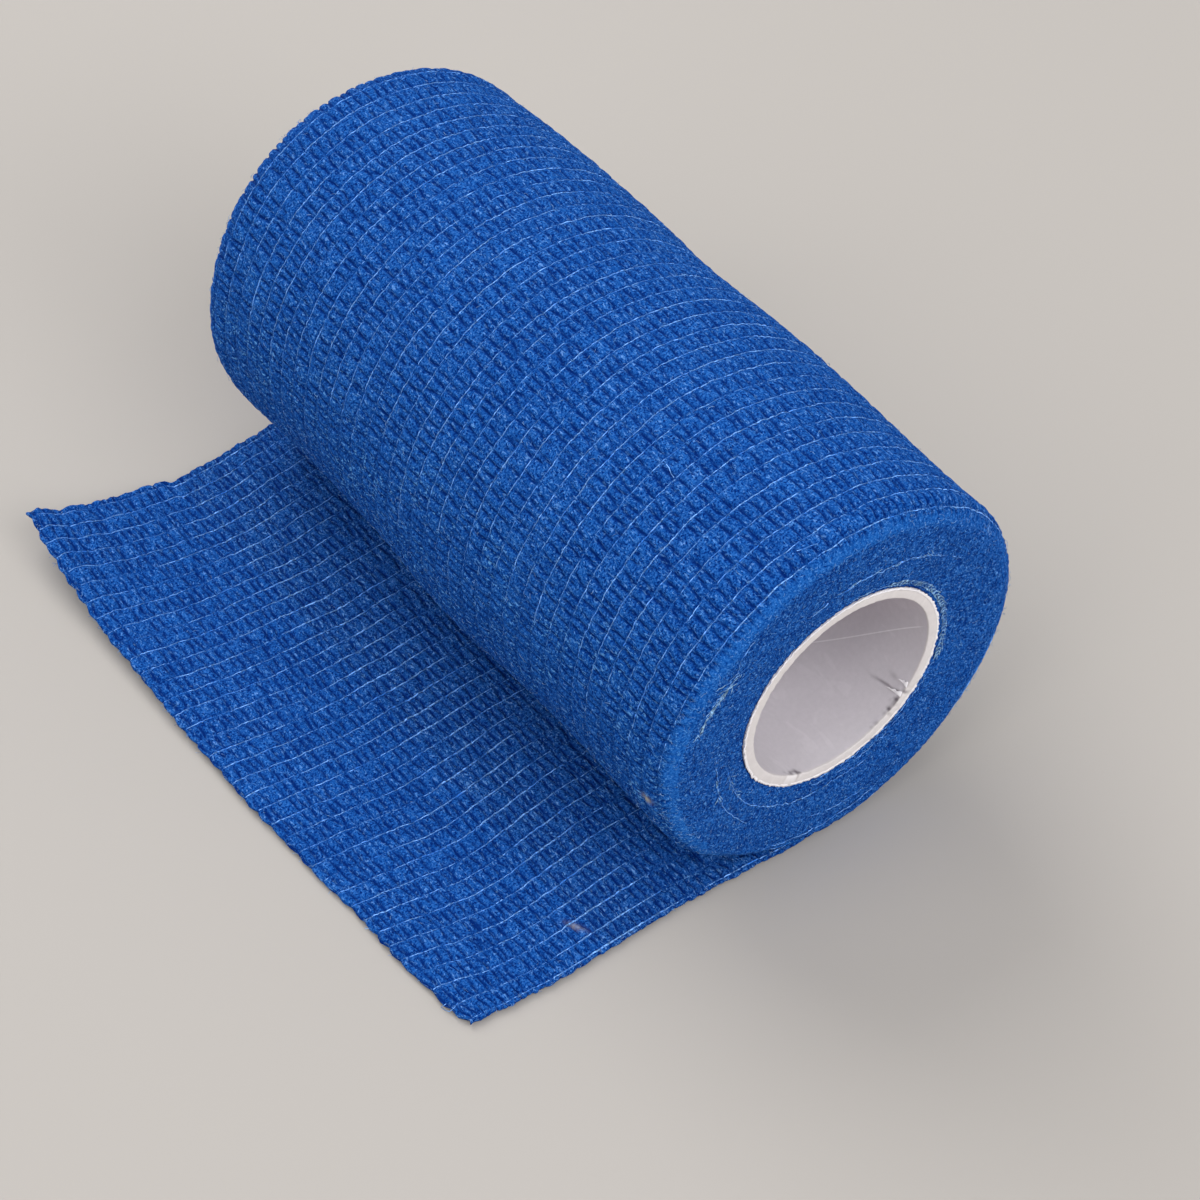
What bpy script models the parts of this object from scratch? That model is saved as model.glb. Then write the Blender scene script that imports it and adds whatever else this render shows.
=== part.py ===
"""Cohesive bandage roll: crepe cloth wound on a paperboard tube, its loose end pulled out flat.

The roll lies on its side. +Y runs along its axis, away from the end that shows, -X is the side
where the loose end lies, and +Z is up. The origin is the middle of the whole thing's footprint.
The helpers below work in millimetres, with X and Z counted from the roll's axis and the table
and with Y counted from the near end; place() turns that into metres about the origin.
"""
import math

import bmesh
import bpy
from mathutils import Vector

MM = 0.001

# --- the wound roll ---
ROLL_WIDTH = 100.0            # cloth width, face to face along the axis
ROLL_RADIUS = 27.5            # outside of the last turn where it leaves the table
CLOTH_THICKNESS = 1.0         # one relaxed layer of crepe
FLAT_SINK = 0.5               # how far the roll's own weight presses its underside flat
SHOULDER_NEAR = 3.0           # rounding of the rim at the near end
SHOULDER_FAR = 3.4            # the same at the far end
SHOULDER_STEPS = (0.0, 22.5, 45.0, 67.5, 90.0)   # degrees round the rim, from the face outwards
RIM_SQUARE_DEGREES = (7.0, 34.0)   # the rim turns from square to round this far from underneath
UNDERSIDE_SETBACK = 0.8       # underneath, the last turn's edge lies this far inside the face
SETBACK_DEGREES = 50.0        # it comes back out to the face this far round
FACE_DISH = 0.9               # the wound edges sink this far in beside the tube
CROTCH_X = -6.0               # where the roll's underside leaves the loose end

# --- the paperboard tube ---
TUBE_RADIUS = 14.64
TUBE_WALL = 1.45
TUBE_INSET = 0.64             # each cut end of the tube lies this far inside the roll's face
TUBE_CHAMFER = 0.15
TUBE_SIDES = 72
TUBE_CLEARANCE = 0.3          # gap between the tube and the first turn

# --- the loose end, laid on the table ---
# Stations from the crotch to the cut. Between the pair at 34.6 and 35.4 the cloth widens by a
# small step: nearer the roll it is still drawn narrow.
TAIL_RUN = (CROTCH_X, -8.5, -11.0, -14.0, -17.0, -20.0, -23.5, -27.0, -31.0, -34.6, -35.4,
            -39.0, -42.5, -46.0, -49.0, -52.0, -55.0)
SPREAD_FROM_X = -42.5         # beyond this the stations fan out to the bowed cut

# How far the loose end's two long edges lie from the near face, and how far its underside is
# lifted off the table across its width. Rows run from under the roll to the cut.
TAIL_COLUMNS = ("x", "near_edge", "far_edge", "lift_near", "lift_quarter", "lift_mid",
                "lift_three_quarter", "lift_far")
TAIL_SECTIONS = (
    (CROTCH_X, 0.8, 99.3, 0.0, 0.0, 0.0, 0.0, 0.0),
    (-12.0, 1.2, 99.6, 0.1, 0.8, 0.4, 0.7, 1.0),
    (-17.0, 1.4, 99.6, 0.1, 0.9, 0.5, 0.8, 1.2),
    (-22.0, 1.7, 99.2, 0.0, 0.5, 0.3, 0.4, 0.9),
    (-28.0, 1.7, 98.9, 0.0, 0.1, 0.1, 0.1, 0.3),
    (-34.6, 1.6, 98.7, 0.0, 0.0, 0.0, 0.0, 0.0),
    (-35.4, 1.5, 99.6, 0.0, 0.0, 0.0, 0.0, 0.1),
    (-40.0, 1.5, 99.7, 0.0, 0.0, 0.0, 0.1, 0.7),
    (-46.0, 1.9, 99.9, 0.0, 0.0, 0.1, 0.5, 1.8),
    (-50.0, 2.4, 100.1, 0.0, 0.0, 0.2, 0.9, 3.0),
    (-54.4, 2.7, 100.5, 0.0, 0.0, 0.3, 1.4, 4.8),
)

# How far the cut edge lies from the roll's axis, across the width from near to far: it bows out.
CUT_COLUMNS = ("across", "x")
CUT_EDGE = (
    (0.00, -51.6),
    (0.04, -52.6),
    (0.10, -53.3),
    (0.21, -53.7),
    (0.31, -54.6),
    (0.45, -55.5),
    (0.60, -55.9),
    (0.78, -56.0),
    (0.92, -55.7),
    (1.00, -54.9),
)

# Soft swells and hollows of the outer turn, from its uneven winding.
SWELL_COLUMNS = ("degrees", "y", "height", "reach_degrees", "reach_y")
SWELLS = (
    (207.0, 47.0, 0.90, 34.0, 12.0),
    (207.0, 94.0, 0.60, 30.0, 9.0),
    (205.0, 22.0, -0.15, 30.0, 8.0),
    (37.0, 34.0, 0.10, 30.0, 8.0),
    (37.0, 54.0, -0.50, 34.0, 9.0),
    (30.0, 97.0, -0.80, 28.0, 9.0),
    (34.0, 8.0, -0.60, 34.0, 13.0),
    (95.0, 66.0, 0.25, 36.0, 13.0),
    (110.0, 24.0, 0.22, 32.0, 11.0),
    (112.0, 97.0, 0.50, 24.0, 8.0),
    (164.0, 96.0, -0.50, 24.0, 8.0),
)

# --- mesh density ---
ARC_STEPS = 84                # round the roll, from the flat spot to the crotch
FLAT_X = (CROTCH_X, -2.0, 2.0)    # stations on the flat spot, between the arc's two ends
FACE_RINGS = 3                # rings of the end face, from the rim to the tube
BODY_ROWS = (8.0, 15.0, 23.0, 31.0, 39.0, 47.0, 55.0, 63.0, 70.0, 77.0, 85.0, 92.0)


def smooth(t):
    """Eases from 0 to 1 with level ends."""
    t = min(1.0, max(0.0, t))
    return t * t * (3.0 - 2.0 * t)


def read_table(rows, key, columns, pick):
    """Looks one column of a table up at a key, easing between its rows."""
    at = columns.index(pick)
    ordered = sorted(rows)
    if key <= ordered[0][0]:
        return ordered[0][at]
    for low, high in zip(ordered, ordered[1:]):
        if key <= high[0]:
            return low[at] + (high[at] - low[at]) * smooth((key - low[0]) / (high[0] - low[0]))
    return ordered[-1][at]


def tail_value(x, column):
    """One column of the loose end's table at a distance from the roll's axis."""
    return read_table(TAIL_SECTIONS, x, TAIL_COLUMNS, column)


def tail_lift(x, across):
    """Height of the loose end's underside above the table; across runs 0 to 1, near to far."""
    lifts = [tail_value(x, name) for name in TAIL_COLUMNS[3:]]
    column = across * (len(lifts) - 1)
    low = min(int(column), len(lifts) - 2)
    return lifts[low] + (lifts[low + 1] - lifts[low]) * smooth(column - low)


def cut_x(across):
    """Where the cut edge lies, across the width."""
    return read_table(CUT_EDGE, across, CUT_COLUMNS, "x")


def tail_y(x, across):
    """Y of a point of the loose end."""
    near, far = tail_value(x, "near_edge"), tail_value(x, "far_edge")
    return near + (far - near) * across


def swell(angle, y):
    """Height of the outer turn's unevenness at an angle round the roll and a place along it."""
    total = 0.0
    for row in SWELLS:
        at = dict(zip(SWELL_COLUMNS, row))
        turn = (math.degrees(angle) - at["degrees"] + 180.0) % 360.0 - 180.0
        off = (turn / at["reach_degrees"]) ** 2 + ((y - at["y"]) / at["reach_y"]) ** 2
        total += at["height"] * math.exp(-off)
    return total


def centre_height():
    """Height of the roll's axis above the table."""
    return ROLL_RADIUS - FLAT_SINK


def spiral_radius(angle):
    """Radius of the last turn: one layer less after a full turn from under the roll."""
    return ROLL_RADIUS - CLOTH_THICKNESS * (angle + math.pi / 2) / (2 * math.pi)


def degrees_from_underside(angle):
    """How far round the roll an angle lies from its underside, either way."""
    return abs((math.degrees(angle) + 90.0 + 180.0) % 360.0 - 180.0)


def shoulder(angle, size):
    """Rim rounding at an angle; where the loose end runs out below, the rim stays square."""
    square, round_ = RIM_SQUARE_DEGREES
    return size * smooth((degrees_from_underside(angle) - square) / (round_ - square))


def arc_angles():
    """Angles round the roll, from the flat spot's right end up, over and down to the crotch."""
    start = -math.pi / 2 + math.acos(centre_height() / ROLL_RADIUS)
    end = 1.5 * math.pi - math.asin(-CROTCH_X / spiral_radius(1.5 * math.pi))
    return [start + (end - start) * i / ARC_STEPS for i in range(ARC_STEPS + 1)]


def rows():
    """Stations along the roll as (y, degrees round the rim or None, which end)."""
    near = [(0.0, deg, -1) for deg in SHOULDER_STEPS]
    far = [(ROLL_WIDTH, deg, 1) for deg in reversed(SHOULDER_STEPS)]
    return near + [(y, None, 0) for y in BODY_ROWS] + far


def rim_place(angle, row):
    """Inset towards the axis, and Y, of a roll point in one station."""
    y, degrees, end = row
    if end == 0:
        return 0.0, y
    size = shoulder(angle, SHOULDER_NEAR if end < 0 else SHOULDER_FAR)
    turn = math.radians(degrees)
    inset = size * (1.0 - math.sin(turn))
    setback = UNDERSIDE_SETBACK * (1.0 - smooth(degrees_from_underside(angle) / SETBACK_DEGREES))
    return inset, y - end * (setback + max(size, 1.0) * (1.0 - math.cos(turn)))


def roll_point(angle, row):
    """A point of the last turn's outside."""
    inset, y = rim_place(angle, row)
    radius = spiral_radius(angle) - inset + swell(angle, y)
    height = centre_height() + radius * math.sin(angle)
    return Vector((radius * math.cos(angle), y, max(0.0, height)))


def floor_point(x, row):
    """A point of the roll's flat underside."""
    _, y = rim_place(-math.pi / 2, row)
    return Vector((x, y, 0.0))


def tail_point(x, row, top):
    """A point of the loose end's upper or lower face."""
    _, y = rim_place(-math.pi / 2, row)
    across = (y - UNDERSIDE_SETBACK) / (ROLL_WIDTH - 2 * UNDERSIDE_SETBACK)
    if x < SPREAD_FROM_X:
        spread = (cut_x(across) - SPREAD_FROM_X) / (TAIL_RUN[-1] - SPREAD_FROM_X)
        x = SPREAD_FROM_X + (x - SPREAD_FROM_X) * spread
    height = tail_lift(x, across) + (CLOTH_THICKNESS if top else 0.0)
    return Vector((x, tail_y(x, across), height))


def outline(row):
    """The cloth's closed outline in one station: roll, loose end's top, cut, underside."""
    roll = [roll_point(a, row) for a in arc_angles()]
    top = [tail_point(x, row, True) for x in TAIL_RUN[1:]]
    under = [tail_point(x, row, False) for x in reversed(TAIL_RUN[1:])]
    flat = [floor_point(x, row) for x in FLAT_X]
    return roll + top + under + flat


def face_ring(row, share):
    """One ring of an end face, from the rim (share 0) to the tube (share 1)."""
    end = row[2]
    outer = [roll_point(a, row) for a in arc_angles()] + [floor_point(x, row) for x in FLAT_X]
    axis = Vector((0.0, 0.0, centre_height()))
    bore = TUBE_RADIUS + TUBE_CLEARANCE
    ring = []
    for point in outer:
        from_axis = Vector((point.x, 0.0, point.z)) - axis
        reach = from_axis.length + (bore - from_axis.length) * share
        spot = axis + from_axis.normalized() * reach
        ring.append(Vector((spot.x, point.y - end * FACE_DISH * share * share, spot.z)))
    return ring


def place(point):
    """Millimetres from the roll's axis and near face, to metres about the origin."""
    middle_x = (spiral_radius(0.0) + min(x for _, x in CUT_EDGE)) / 2
    middle_y = TAIL_SECTIONS[-1][TAIL_COLUMNS.index("far_edge")] / 2
    return Vector(((point.x - middle_x) * MM, (point.y - middle_y) * MM, point.z * MM))


def extrude_to(bm, chain, points):
    """Extrudes a chain of vertices once and sets the new ones down on the given points."""
    inside = set(chain)
    edges = {e for v in chain for e in v.link_edges if set(e.verts) <= inside}
    made = bmesh.ops.extrude_edge_only(bm, edges=sorted(edges, key=lambda e: e.index))
    fresh = {v for v in made["geom"] if isinstance(v, bmesh.types.BMVert)}
    moved = []
    for vert, point in zip(chain, points):
        others = (edge.other_vert(vert) for edge in vert.link_edges)
        partner = next(v for v in others if v in fresh)
        partner.co = place(point)
        moved.append(partner)
    return moved


def loft(bm, rings, closed=True):
    """Skins a list of rings of points: the first is drawn, each next one extruded from the last."""
    chain = [bm.verts.new(place(point)) for point in rings[0]]
    for here, there in zip(chain, chain[1:] + chain[:1] if closed else chain[1:]):
        bm.edges.new((here, there))
    bm.edges.index_update()
    for ring in rings[1:]:
        chain = extrude_to(bm, chain, ring)
        bm.edges.index_update()


def new_object(name, bm, colour, roughness):
    """Turns a bmesh into a named object with its own material."""
    bmesh.ops.remove_doubles(bm, verts=bm.verts, dist=0.00002)
    bmesh.ops.recalc_face_normals(bm, faces=bm.faces)
    mesh = bpy.data.meshes.new(name)
    bm.to_mesh(mesh)
    bm.free()
    material = bpy.data.materials.new(name)
    material.use_nodes = True
    shader = material.node_tree.nodes["Principled BSDF"]
    shader.inputs["Base Color"].default_value = (*colour, 1.0)
    shader.inputs["Roughness"].default_value = roughness
    mesh.materials.append(material)
    mesh.shade_smooth()
    mesh.set_sharp_from_angle(angle=math.radians(40.0))
    thing = bpy.data.objects.new(name, mesh)
    bpy.context.scene.collection.objects.link(thing)
    return thing


def make_bandage():
    """The wound cloth and its loose end, one solid with the tube's hole through it."""
    bm = bmesh.new()
    stations = rows()
    loft(bm, [outline(row) for row in stations])
    shares = [i / FACE_RINGS for i in range(FACE_RINGS + 1)]
    near = [face_ring(stations[0], share) for share in shares]
    far = [face_ring(stations[-1], share) for share in shares]
    loft(bm, near)
    loft(bm, far)
    loft(bm, [near[-1], far[-1]])
    for row in (stations[0], stations[-1]):
        crotch = roll_point(arc_angles()[-1], row)
        top = [crotch] + [tail_point(x, row, True) for x in TAIL_RUN[1:]]
        under = [floor_point(FLAT_X[0], row)] + [tail_point(x, row, False) for x in TAIL_RUN[1:]]
        loft(bm, [top, under], closed=False)
    return new_object("bandage", bm, (0.02, 0.12, 0.50), 0.85)


def make_tube():
    """The hollow paperboard tube that the cloth is wound on."""
    inner = TUBE_RADIUS - TUBE_WALL
    near, far = TUBE_INSET, ROLL_WIDTH - TUBE_INSET
    profile = [
        (inner + TUBE_CHAMFER, near), (TUBE_RADIUS - TUBE_CHAMFER, near),
        (TUBE_RADIUS, near + TUBE_CHAMFER), (TUBE_RADIUS, far - TUBE_CHAMFER),
        (TUBE_RADIUS - TUBE_CHAMFER, far), (inner + TUBE_CHAMFER, far),
        (inner, far - TUBE_CHAMFER), (inner, near + TUBE_CHAMFER),
    ]
    bm = bmesh.new()
    start = [bm.verts.new(place(Vector((r, y, centre_height())))) for r, y in profile]
    edges = [bm.edges.new((start[i], start[(i + 1) % len(start)])) for i in range(len(start))]
    bmesh.ops.spin(
        bm, geom=start + edges, cent=place(Vector((0.0, 0.0, centre_height()))),
        axis=(0.0, 1.0, 0.0), dvec=(0.0, 0.0, 0.0), angle=2 * math.pi, steps=TUBE_SIDES,
        use_merge=True, use_duplicate=False,
    )
    return new_object("core_tube", bm, (0.70, 0.66, 0.63), 0.7)


def main():
    """Clears the scene and builds both pieces."""
    for thing in list(bpy.data.objects):
        bpy.data.objects.remove(thing, do_unlink=True)
    make_tube()
    make_bandage()


main()
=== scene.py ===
"""Cohesive bandage roll: blue crepe cloth with elastic threads, wound on a paperboard tube.

The roll lies on its side and its loose end is pulled out flat on the table. Every form below is
worked out in millimetres, with X and Z counted from the roll's axis and the table and Y from
the near end; Placement turns that into the frame's metres.
"""
import logging
import math
from collections.abc import Iterator
from contextlib import contextmanager
from dataclasses import dataclass, field
from enum import Enum

import bmesh
import bpy
import numpy as np
from mathutils import Matrix, Vector


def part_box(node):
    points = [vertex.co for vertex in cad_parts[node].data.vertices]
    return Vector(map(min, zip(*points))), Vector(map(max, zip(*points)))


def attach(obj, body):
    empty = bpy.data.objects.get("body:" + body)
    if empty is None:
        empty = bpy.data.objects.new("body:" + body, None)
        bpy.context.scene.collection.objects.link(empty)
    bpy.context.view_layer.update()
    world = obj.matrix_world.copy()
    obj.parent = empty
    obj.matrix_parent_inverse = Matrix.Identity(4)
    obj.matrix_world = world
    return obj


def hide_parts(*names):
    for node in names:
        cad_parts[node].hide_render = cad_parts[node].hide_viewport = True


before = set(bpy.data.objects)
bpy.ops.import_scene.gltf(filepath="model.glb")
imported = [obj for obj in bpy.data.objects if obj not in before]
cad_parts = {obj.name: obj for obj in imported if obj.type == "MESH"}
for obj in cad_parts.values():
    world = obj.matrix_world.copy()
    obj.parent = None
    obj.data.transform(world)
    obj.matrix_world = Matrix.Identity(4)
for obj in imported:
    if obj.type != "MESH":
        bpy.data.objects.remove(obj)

LOG = logging.getLogger("bandage")
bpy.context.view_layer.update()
MM = 0.001
TURN = 2.0 * math.pi
Array = np.ndarray
Socket = bpy.types.NodeSocket


class End(Enum):
    """The two ends of the roll, by the way they face along the axis."""

    NEAR = -1
    FAR = 1


class Face(Enum):
    """The two faces of the cloth: the one that is outside on the roll, and the other."""

    OUTER = 1
    INNER = -1


def ease(t: Array) -> Array:
    """Eases from 0 to 1 with level ends."""
    t = np.clip(t, 0.0, 1.0)
    return t * t * (3.0 - 2.0 * t)


def ramp(value: Array, start: float, length: float) -> Array:
    """Eases from 0 at start to 1 a length further on, or further back if the length is negative."""
    return ease((value - start) / length)


def hill(value: Array, middle: float, reach: float) -> Array:
    """1 at the middle, falling to about a third of that a reach away on either side."""
    return np.exp(-((value - middle) / reach) ** 2)


def layers(*parts: Array | float) -> Array:
    """Stacks grids and numbers into one grid with that many parts at each place."""
    return np.stack(np.broadcast_arrays(*parts), axis=-1)


def eased_table(key: Array, keys: tuple, values: tuple) -> Array:
    """Looks a table up, easing between its rows.

    Args:
        key: Where to look.
        keys: The table's rising first column.
        values: The column to read.

    Returns:
        One value for each key.
    """
    keys, values = np.asarray(keys, float), np.asarray(values, float)
    at = np.clip(np.searchsorted(keys, key) - 1, 0, len(keys) - 2)
    share = ease((key - keys[at]) / (keys[at + 1] - keys[at]))
    return values[at] + (values[at + 1] - values[at]) * share


def hashed(i: Array, j: Array, seed: int) -> Array:
    """Pseudo-random numbers from -1 to 1 for whole-number places.

    Args:
        i: First whole-number coordinate.
        j: Second whole-number coordinate.
        seed: Tells one set of numbers from another.

    Returns:
        One number for each pair.
    """
    n = i.astype(np.int64) * 374761393 + j.astype(np.int64) * 668265263 + seed * 1442695041
    n = (n ^ (n >> 13)) * 1274126177
    n = n ^ (n >> 16)
    return (n & 0xFFFF) / 32767.5 - 1.0


def noise(x: Array, y: Array, seed: int, wrap: int = 0) -> Array:
    """Smooth seeded noise from -1 to 1 on a plane, one lump per unit.

    Args:
        x: First coordinate.
        y: Second coordinate.
        seed: Tells one field from another.
        wrap: If given, the field repeats after this many units of x.

    Returns:
        The noise at each place.
    """
    x, y = np.broadcast_arrays(np.asarray(x, float), np.asarray(y, float))
    i, j = np.floor(x), np.floor(y)
    p, q = ease(x - i), ease(y - j)
    i0, i1 = (i % wrap, (i + 1) % wrap) if wrap else (i, i + 1)
    low = hashed(i0, j, seed) * (1 - p) + hashed(i1, j, seed) * p
    high = hashed(i0, j + 1, seed) * (1 - p) + hashed(i1, j + 1, seed) * p
    return low * (1 - q) + high * q


def in_scene(name: str, data: bpy.types.ID) -> bpy.types.Object:
    """Makes an object of a mesh, curve, light or camera and links it to the scene."""
    made = bpy.data.objects.new(name, data)
    bpy.context.scene.collection.objects.link(made)
    return made


@contextmanager
def reworked(mesh: bpy.types.Mesh) -> Iterator[bmesh.types.BMesh]:
    """Lends a mesh to bmesh operators and writes it back afterwards."""
    bm = bmesh.new()
    bm.from_mesh(mesh)
    yield bm
    bm.to_mesh(mesh)
    bm.free()


@dataclass(frozen=True)
class Placement:
    """Where the roll's own millimetres lie in the frame."""

    axis_x: float
    near_y: float

    @classmethod
    def on_tube(cls, inset: float) -> "Placement":
        """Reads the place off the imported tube.

        Args:
            inset: How far the tube's cut end lies inside the roll's near end.

        Returns:
            The placement.
        """
        low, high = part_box("core_tube")
        return cls((low[0] + high[0]) / 2 / MM, low[1] / MM - inset)

    def metres(self, points: Array) -> Array:
        """Turns millimetres about the roll into the frame's metres."""
        return (points + np.array([self.axis_x, self.near_y, 0.0])) * MM


@dataclass(frozen=True)
class Swell:
    """One soft swell or hollow of the outer turn, from its uneven winding."""

    degrees: float
    y: float
    height: float
    reach_degrees: float
    reach_y: float

    def at(self, angle: Array, y: Array) -> Array:
        """Height of this swell at angles and places along the roll."""
        turn = (np.degrees(angle) - self.degrees + 180.0) % 360.0 - 180.0
        off = (turn / self.reach_degrees) ** 2 + ((y - self.y) / self.reach_y) ** 2
        return self.height * np.exp(-off)


SWELLS = (
    Swell(207.0, 47.0, 0.90, 34.0, 12.0),
    Swell(207.0, 94.0, 0.60, 30.0, 9.0),
    Swell(205.0, 22.0, -0.15, 30.0, 8.0),
    Swell(37.0, 34.0, 0.10, 30.0, 8.0),
    Swell(37.0, 54.0, -0.50, 34.0, 9.0),
    Swell(30.0, 97.0, -0.80, 28.0, 9.0),
    Swell(34.0, 8.0, -0.60, 34.0, 13.0),
    Swell(95.0, 66.0, 0.25, 36.0, 13.0),
    Swell(110.0, 24.0, 0.22, 32.0, 11.0),
    Swell(112.0, 97.0, 0.50, 24.0, 8.0),
    Swell(164.0, 96.0, -0.50, 24.0, 8.0),
)


@dataclass(frozen=True)
class ThreadLayout:
    """Where the elastic threads lie across the cloth, in millimetres of its width."""

    count: int = 37
    first: float = 0.5
    first_gap: float = 2.4
    pitch: float = 2.72
    far_margin: float = 1.2
    near_column: float = -0.2

    @property
    def last(self) -> int:
        """Number of the last thread, counting from 0."""
        return self.count - 1

    @property
    def far_column(self) -> float:
        """Column number of the cloth's far edge."""
        return self.last + self.far_margin / self.pitch

    @property
    def width(self) -> float:
        """Width of the cloth from edge to edge."""
        return self.first + self.first_gap + self.pitch * (self.last - 1) + self.far_margin

    def share(self, column: Array) -> Array:
        """How far across the cloth a column number lies, from 0 to 1.

        Args:
            column: Column numbers; each whole number is a thread.

        Returns:
            The share of the width.
        """
        before = (column - self.near_column) * self.first / -self.near_column
        between = self.first + column * self.first_gap
        after = self.first + self.first_gap + (column - 1.0) * self.pitch
        across = np.where(column < 0, before, np.where(column < 1, between, after))
        return across / self.width


THREADS = ThreadLayout()


@dataclass(frozen=True)
class RollForm:
    """The outer turn's form: a spiral round the tube with rounded rims and a flat spot."""

    width: float = 100.0
    radius: float = 27.5
    layer: float = 1.0
    flat_sink: float = 0.5
    shoulder_near: float = 3.0
    shoulder_far: float = 3.4
    wrap_near: float = 83.0
    wrap_far: float = 23.0
    far_stretch: float = 1.73
    square_degrees: float = 7.0
    round_degrees: float = 34.0
    setback: float = 0.8
    setback_degrees: float = 50.0

    @property
    def axis_z(self) -> float:
        """Height of the roll's axis above the table."""
        return self.radius - self.flat_sink

    @property
    def start_angle(self) -> float:
        """Where the outer turn leaves the table."""
        return -math.pi / 2 + math.acos(self.axis_z / self.radius)

    @property
    def start_x(self) -> float:
        """The same place, from the roll's axis."""
        return self.radius * math.cos(self.start_angle)

    def spiral(self, angle: Array) -> Array:
        """Radius of the outer turn's outside."""
        return self.radius - self.layer * (angle + math.pi / 2) / TURN

    def from_underside(self, angle: Array) -> Array:
        """Degrees round the roll from its underside, either way."""
        return np.abs((np.degrees(angle) + 270.0) % 360.0 - 180.0)

    def roundness(self, angle: Array) -> Array:
        """0 where the rim is square, underneath, and 1 where it is round."""
        span = self.round_degrees - self.square_degrees
        return ramp(self.from_underside(angle), self.square_degrees, span)

    def beyond_last(self, angle: Array) -> Array:
        """How many times wider the cloth past its last thread is where it turns over the far rim."""
        return 1.0 + self.far_stretch * self.roundness(angle)

    def edge_setback(self, angle: Array) -> Array:
        """How far inside the end the cloth's edge lies."""
        return self.setback * (1.0 - ease(self.from_underside(angle) / self.setback_degrees))

    def swell(self, angle: Array, y: Array) -> Array:
        """Height of all the swells together."""
        return sum(one.at(angle, y) for one in SWELLS)


ROLL = RollForm()


def about_axis(radius: Array, angle: Array, y: Array) -> Array:
    """Points at given distances from the roll's axis, angles round it and places along it."""
    return layers(radius * np.cos(angle), y, ROLL.axis_z + radius * np.sin(angle))


@dataclass(frozen=True)
class LooseEndForm:
    """The loose end's form: its edges, its lift off the table and its bowed cut."""

    stations: tuple = (-54.4, -50.0, -46.0, -40.0, -35.4, -34.6, -28.0, -22.0, -17.0, -12.0, -6.0)
    near_edge: tuple = (2.7, 2.4, 1.9, 1.5, 1.5, 1.6, 1.7, 1.7, 1.4, 1.2, 0.8)
    far_edge: tuple = (100.5, 100.1, 99.9, 99.7, 99.6, 98.7, 98.9, 99.2, 99.6, 99.6, 99.3)
    lifts: tuple = (
        (0.0, 0.0, 0.0, 0.0, 0.0, 0.0, 0.0, 0.0, 0.1, 0.1, 0.0),
        (0.0, 0.0, 0.0, 0.0, 0.0, 0.0, 0.1, 0.5, 0.9, 0.8, 0.0),
        (0.3, 0.2, 0.1, 0.0, 0.0, 0.0, 0.1, 0.3, 0.5, 0.4, 0.0),
        (1.4, 0.9, 0.5, 0.1, 0.0, 0.0, 0.1, 0.4, 0.8, 0.7, 0.0),
        (4.8, 3.0, 1.8, 0.7, 0.1, 0.0, 0.3, 0.9, 1.2, 1.0, 0.0),
    )
    cut_share: tuple = (0.0, 0.04, 0.10, 0.21, 0.31, 0.45, 0.60, 0.78, 0.92, 1.0)
    cut_x: tuple = (-51.6, -52.6, -53.3, -53.7, -54.6, -55.5, -55.9, -56.0, -55.7, -54.9)
    cut_station: float = -55.0
    spread_from: float = -42.5

    def lift(self, x: Array, across: Array) -> Array:
        """Height of the underside above the table.

        Args:
            x: Distance from the roll's axis.
            across: Share of the width, from near to far.

        Returns:
            The lift.
        """
        rows = [eased_table(x, self.stations, row) for row in self.lifts]
        column = np.clip(across, 0.0, 1.0) * (len(rows) - 1)
        total = np.zeros(np.broadcast(x, across).shape)
        for number, row in enumerate(rows):
            total = total + row * ease(1.0 - np.abs(column - number))
        return total

    def spread(self, x: Array, across: Array) -> Array:
        """Fans the stations beyond spread_from out to the bowed cut."""
        cut = eased_table(across, self.cut_share, self.cut_x)
        factor = (cut - self.spread_from) / (self.cut_station - self.spread_from)
        return np.where(x < self.spread_from, self.spread_from + (x - self.spread_from) * factor, x)


LOOSE = LooseEndForm()


@dataclass(frozen=True)
class CreaseRow:
    """The creases of one column: slanting strokes from thread to thread that fade at their ends."""

    place: Array
    depth: Array
    reach: Array
    tilt: Array
    bow: Array
    side: Array
    phase: Array
    start: Array
    stop: Array

    def strokes(self, along: Array, part: float) -> tuple[Array, Array, Array]:
        """Follows the creases along one line of the column.

        Args:
            along: Places along the cloth.
            part: Where the line lies between its two threads, from 0 to 1.

        Returns:
            How deep in a crease each place lies, how high the puff between creases arches there,
            and the distance from crease to crease.
        """
        offset = self.tilt * (part - 0.5) + self.bow * (4.0 * (part - 0.5) ** 2 - 0.5)
        at = self.place + offset + 0.07 * np.sin(6.0 * part + self.phase)
        inside = ease((part - self.start) / 0.24) * ease((self.stop - part) / 0.24)
        weight = np.clip(1.0 + self.side * (2.0 * part - 1.0), 0.1, 1.7)
        order = np.argsort(at)
        at, depth, reach = at[order], (self.depth * inside * weight)[order], self.reach[order]
        right = np.clip(np.searchsorted(at, along), 1, len(at) - 1)
        left = right - 1
        before, after = along - at[left], at[right] - along
        gap = np.maximum(at[right] - at[left], 0.05)
        share = np.clip(before / gap, 0.0, 1.0)
        creased = np.maximum(
            depth[left] * hill(before, 0.0, reach[left]), depth[right] * hill(after, 0.0, reach[right])
        )
        ends = np.clip(depth[left] * (1.0 - share) + depth[right] * share, 0.0, 1.0)
        arch = 1.0 - (1.0 - np.sqrt(4.0 * share * (1.0 - share))) * ends
        return creased, arch, gap


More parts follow.
